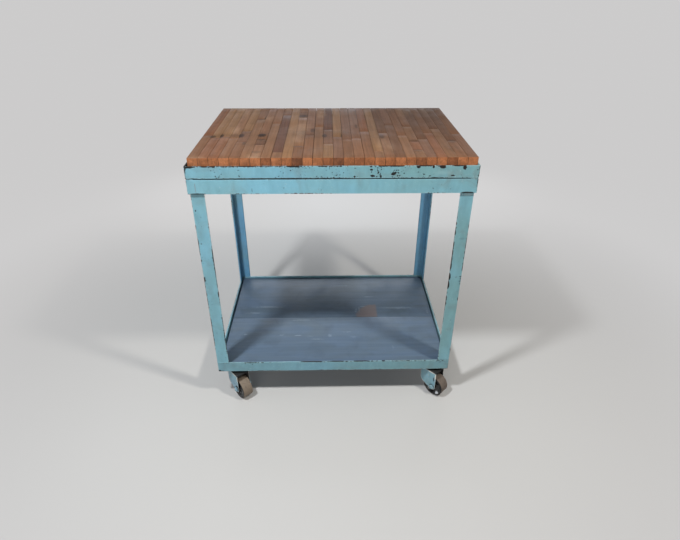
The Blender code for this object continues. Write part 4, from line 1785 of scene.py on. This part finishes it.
@dataclass
class Caster:
    """One swivel caster: fork, race, bolt and nut on the swivel, core and tread on the wheel."""

    corner: str
    finishes: CasterFinishes
    tread_width: float = 0.036
    core_width: float = 0.0356
    hub_width: float = 0.0384
    hub_radius: float = 0.0110
    bore: float = 0.0069
    dish: float = 0.0062
    ease: float = 0.0005
    steps: int = 72
    ring_reach: float = 0.0240
    ring_radius: float = 0.0104
    bend_trail: float = 0.020
    bend_height: float = 0.1000
    lip_trail: float = 0.041
    lip_height: float = 0.088

    def build(self) -> None:
        """Makes the caster's pieces and dresses those that stay CAD."""
        swivel, wheel = f"swivel_{self.corner}", f"wheel_{self.corner}"
        spin = joint_of(wheel)
        axle = AxleLine(tuple(spin["pos_m"]), tuple(Vector(spin["axis"]).normalized()))
        # the fork's inside gets painted shade
        inside = (axle, self.finishes.fork_shade_reach)
        painted = self.finishes.fork.material(self.corner, None, self.fork_marks(axle), inside)
        self.ease_metal("fork", swivel, painted)
        bolt = self.finishes.bolt.material(self.corner)
        for name in ("axle_bolt", "axle_nut"):
            self.ease_metal(name, swivel, bolt)
        self.ease_metal("caster_plate", "frame", self.finishes.plate.material(self.corner))
        steel = self.finishes.steel.material(self.corner)
        for name in ("kingpin", "swivel_race", "axle_sleeve"):
            dress(f"{name}_{self.corner}", steel)
        self.turn_wheel(wheel, axle)

    def fork_marks(self, axle: AxleLine) -> tuple[Mark, ...]:
        """Lists a fork's marks: rings of painted shade round bolt and nut, pale bends and lips that are
        partly rubbed paint and partly painted highlight, a dark oval on the front right fork and a worn foot
        on the front left one.

        Args:
            axle: the wheel's axle.

        Returns:
            The marks.
        """
        centre, axis = Vector(axle.centre), Vector(axle.axis)
        pin = Vector(joint_of(f"swivel_{self.corner}")["pos_m"])
        trail = Vector((centre.x - pin.x, centre.y - pin.y, 0)).normalized()
        shade_ring = {"strength": 0.95, "ragged": 0.35, "grain": 300, "softness": 0.15}
        rubbed_and_highlit = {"kind": MarkKind.PALE, "strength": 0.85, "ragged": 1.1, "grain": 300, "softness": 0.3}
        marks = []
        # painted shade: dark rings round the bolt head and the nut
        for cheek in (-axis * self.ring_reach, axis * self.ring_reach):
            marks.append(Mark(tuple(centre + cheek), (self.ring_radius,) * 3, **shade_ring))
            # pale bends and lips: partly rubbed paint, partly painted highlight
            bend = pin + cheek + trail * self.bend_trail
            marks.append(Mark((bend.x, bend.y, self.bend_height), (0.023, 0.023, 0.0034), **rubbed_and_highlit))
            lip = pin + cheek + trail * self.lip_trail
            marks.append(Mark((lip.x, lip.y, self.lip_height), (0.0036, 0.0036, 0.014), **rubbed_and_highlit))
        # a dark oval on the front right fork's cheek, in the dark steel colour
        if self.corner == "front_right":
            marks.append(Mark((0.3475, -0.2917, 0.0735), (0.0022, 0.0022, 0.0105), ragged=0.5))
        if self.corner == "front_left":
            worn_foot = {"ragged": 1.2, "grain": 260, "softness": 0.2}
            marks.append(Mark((-0.3385, -0.2930, 0.0440), (0.0100, 0.0100, 0.0130), **worn_foot))
        return tuple(marks)

    def ease_metal(self, name: str, body: str, material: bpy.types.Material) -> None:
        """Makes the eased copy that stands for a CAD node.

        Args:
            name: the node's name without its corner.
            body: the CAD body it rides on.
            material: its material.
        """
        node = f"{name}_{self.corner}"
        eased = eased_copy(node, self.ease)
        make_piece(f"{name}_eased_{self.corner}", eased, body, material, (node,))

    def turn_wheel(self, body: str, axle: AxleLine) -> None:
        """Turns the wheel's core and tread about the axle.

        Args:
            body: the CAD body that the wheel is.
            axle: the wheel's axle.
        """
        low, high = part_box(f"tyre_{self.corner}")
        core_low, core_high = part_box(f"wheel_core_{self.corner}")
        centre, axis = Vector(axle.centre), Vector(axle.axis)
        outer = (high.z - low.z) / 2
        seat = (core_high.z - core_low.z) / 2
        core = turned(self.core_profile(seat), centre, axis, self.steps)
        gloss = self.finishes.core.material(self.corner, marks=self.core_marks())
        node = f"wheel_core_{self.corner}"
        make_piece(f"wheel_core_turned_{self.corner}", core, body, gloss, (node,), crease=50)
        tread = turned(self.tread_profile(seat + 0.0003, outer), centre, axis, self.steps)
        side = (axle, self.tread_width / 2 - 0.0008, self.finishes.tread_wall)
        tread_finish = self.finishes.soiled_tread if self.corner == "front_right" else self.finishes.tread
        tan = tread_finish.material(self.corner, side)
        node = f"tyre_{self.corner}"
        make_piece(f"tyre_turned_{self.corner}", tread, body, tan, (node,), crease=50)

    def core_marks(self) -> tuple[Mark, ...]:
        """Lists the painted highlight on the rim of the front right wheel.

        Returns:
            The mark, or nothing for the other wheels.
        """
        if self.corner != "front_right":
            return ()
        # painted highlight low on the rim
        place, size = (0.3625, -0.2990, 0.0150), (0.0105, 0.0105, 0.0062)
        return (Mark(place, size, MarkKind.PALE, 0.95, ragged=1.3, grain=260, softness=0.3),)

    def core_profile(self, seat: float) -> list[Pair]:
        """Draws the section of the core: a hub, a shallow dish and a rounded rim.

        Args:
            seat: the radius that the tread sits on.

        Returns:
            Points as (radius, place along the axle).
        """
        hub, side = self.hub_width / 2, self.core_width / 2
        half = [
            (self.bore, hub),
            (self.hub_radius - 0.0012, hub),
            (self.hub_radius - 0.0004, hub - 0.0004),
            (self.hub_radius, hub - 0.0013),
            (self.hub_radius + 0.0005, side - self.dish * 0.7),
            (self.hub_radius + 0.0022, side - self.dish),
            (seat * 0.66, side - self.dish),
            (seat * 0.76, side - self.dish * 0.86),
            (seat * 0.83, side - self.dish * 0.5),
            (seat * 0.89, side - self.dish * 0.14),
            (seat * 0.94, side - 0.0002),
            (seat - 0.0007, side),
            (seat - 0.0001, side - 0.0004),
            (seat, side - 0.0010),
        ]
        return half + [(radius, -along) for radius, along in reversed(half)]

    def tread_profile(self, inner: float, outer: float) -> list[Pair]:
        """Draws the section of the tread: a flat band with small round shoulders.

        Args:
            inner: its inner radius.
            outer: its outer radius.

        Returns:
            Points as (radius, place along the axle).
        """
        side, ease = self.tread_width / 2, 0.0014
        half = [(inner, side - 0.0012), (inner + 0.0006, side - 0.0002), (outer - ease, side)]
        for step in range(1, 5):
            angle = math.radians(90 * step / 4)
            half.append((outer - ease + ease * math.sin(angle), side - ease + ease * math.cos(angle)))
        return half + [(radius, -along) for radius, along in reversed(half)]


# ---------------------------------------------------------------- studio


@dataclass(frozen=True)
class Softbox:
    """One soft light."""

    name: str
    place: Point
    aim: Point
    size: float
    watts: float
    tint: Point = (1.0, 1.0, 1.0)

    def light(self) -> None:
        """Puts the light in the scene."""
        data = bpy.data.lights.new(self.name, "AREA")
        data.shape = "DISK"
        data.size = self.size
        data.energy = self.watts
        data.color = self.tint
        lamp = bpy.data.objects.new(self.name, data)
        lamp.location = self.place
        lamp.visible_camera = False
        lamp.rotation_euler = (Vector(self.aim) - Vector(self.place)).to_track_quat("-Z", "Y").to_euler()
        bpy.context.scene.collection.objects.link(lamp)


@dataclass
class Studio:
    """A plain pale floor, soft lights and the camera."""

    eye: Point = (-0.0105, -1.5732, 1.2933)
    pitch: float = 31.06
    yaw: float = 1.365
    roll: float = 0.2255
    lens: float = 26.395
    near_clip: float = 0.01
    floor_reach: float = 30.0
    floor_drop: float = 0.0002
    floor_colour: Colour = shade(190, 188, 186)
    distance_colour: Colour = shade(203, 202, 202)
    fade_from: float = 0.5
    fade_to: float = 2.0
    ambient: float = 0.09

    def build(self) -> None:
        """Makes the floor, the lights and the camera."""
        self.make_floor()
        self.make_lights()
        self.make_camera()

    def make_floor(self) -> None:
        """Makes the floor, which isn't part of the cart and fades into the distance round it."""
        solid = bmesh.new()
        bmesh.ops.create_grid(solid, x_segments=4, y_segments=4, size=self.floor_reach)
        mesh = bpy.data.meshes.new("floor")
        solid.to_mesh(mesh)
        solid.free()
        coat = Coat("pale_floor", 0.75)
        w = coat.wires
        haze = w.clouds(coat.place, 2.0, 4.0)
        near = w.mix(w.times(haze, 0.12), self.floor_colour, shade(188, 185, 180))
        away = w.step(w.vector("LENGTH", coat.place), self.fade_from, self.fade_to)
        faded = w.times(away, w.node("ShaderNodeLightPath").outputs["Is Camera Ray"])
        w.feed(coat.shader.inputs["Emission Strength"], faded)
        coat.shader.inputs["Emission Color"].default_value = self.distance_colour
        colour = w.mix(faded, near, (0.0, 0.0, 0.0, 1.0))
        mesh.materials.append(coat.finish(colour, w.lerp(haze, 0.70, 0.82), haze, 0.0001))
        floor = bpy.data.objects.new("floor", mesh)
        floor.location = (0.0, 0.0, -self.floor_drop)
        bpy.context.scene.collection.objects.link(floor)
        log.info("floor: stage")

    def make_lights(self) -> None:
        """Makes the soft lights and the even light round the cart."""
        target = (0.0, -0.1, 0.15)
        boxes = (
            Softbox("left_softbox", (-0.83, -0.965, 2.30), target, 0.22, 40.0, (0.96, 1.0, 1.03)),
            Softbox("right_softbox", (1.17, -0.965, 2.30), target, 0.22, 29.0, (1.0, 0.97, 0.91)),
            Softbox("front_fill", (-0.9, -3.2, 1.30), (0.0, 0.0, 0.4), 1.8, 27.0),
            Softbox("left_wall", (-2.6, 0.0, 1.1), (0.0, 0.0, 0.4), 1.8, 7.0),
            Softbox("right_wall", (2.6, 0.0, 1.1), (0.0, 0.0, 0.4), 1.8, 5.0),
            Softbox("back_wall", (0.0, 2.0, 0.75), (0.0, 0.0, 0.1), 1.1, 9.0, (0.90, 1.0, 1.10)),
            Softbox("back_left_wall", (-1.0, 2.0, 0.75), (0.0, 0.0, 0.1), 1.1, 8.0),
            Softbox("back_right_wall", (1.0, 2.0, 0.75), (0.0, 0.0, 0.1), 1.1, 8.0),
        )
        for box in boxes:
            box.light()
        world = bpy.data.worlds.new("even_light")
        world.use_nodes = True
        wires = Wiring(world.node_tree)
        back = world.node_tree.nodes["Background"]
        seen = wires.node("ShaderNodeLightPath").outputs["Is Camera Ray"]
        wires.feed(back.inputs["Color"], wires.mix(seen, (0.93, 0.96, 1.0, 1.0), self.distance_colour))
        wires.feed(back.inputs["Strength"], wires.lerp(seen, self.ambient, 1.0))
        bpy.context.scene.world = world
        bpy.context.scene.view_settings.view_transform = "Standard"

    def make_camera(self) -> None:
        """Makes the camera in front of the cart, looking down at it."""
        pitch, yaw, roll = math.radians(self.pitch), math.radians(self.yaw), math.radians(self.roll)
        right = Vector((math.cos(yaw), -math.sin(yaw), 0))
        ahead = Vector((math.sin(yaw) * math.cos(pitch), math.cos(yaw) * math.cos(pitch), -math.sin(pitch)))
        up = right.cross(ahead)
        side = right * math.cos(roll) + up * math.sin(roll)
        top = up * math.cos(roll) - right * math.sin(roll)
        data = bpy.data.cameras.new("camera")
        data.lens = self.lens
        data.clip_start = self.near_clip
        camera = bpy.data.objects.new("camera", data)
        turn = Matrix((side, top, -ahead)).transposed().to_4x4()
        camera.matrix_world = Matrix.Translation(self.eye) @ turn
        bpy.context.scene.collection.objects.link(camera)
        bpy.context.scene.camera = camera


def main() -> None:
    """Builds the cart, piece by piece, and its studio."""
    logging.basicConfig(level=logging.INFO, format="%(name)s: %(message)s")
    Studio().build()
    ButcherBlock().build()
    SteelFrame().build()
    Welds().build()
    ShelfBoards().build()
    finishes = CasterFinishes()
    for corner in CORNERS:
        Caster(corner, finishes).build()


if __name__ == "__main__":
    main()
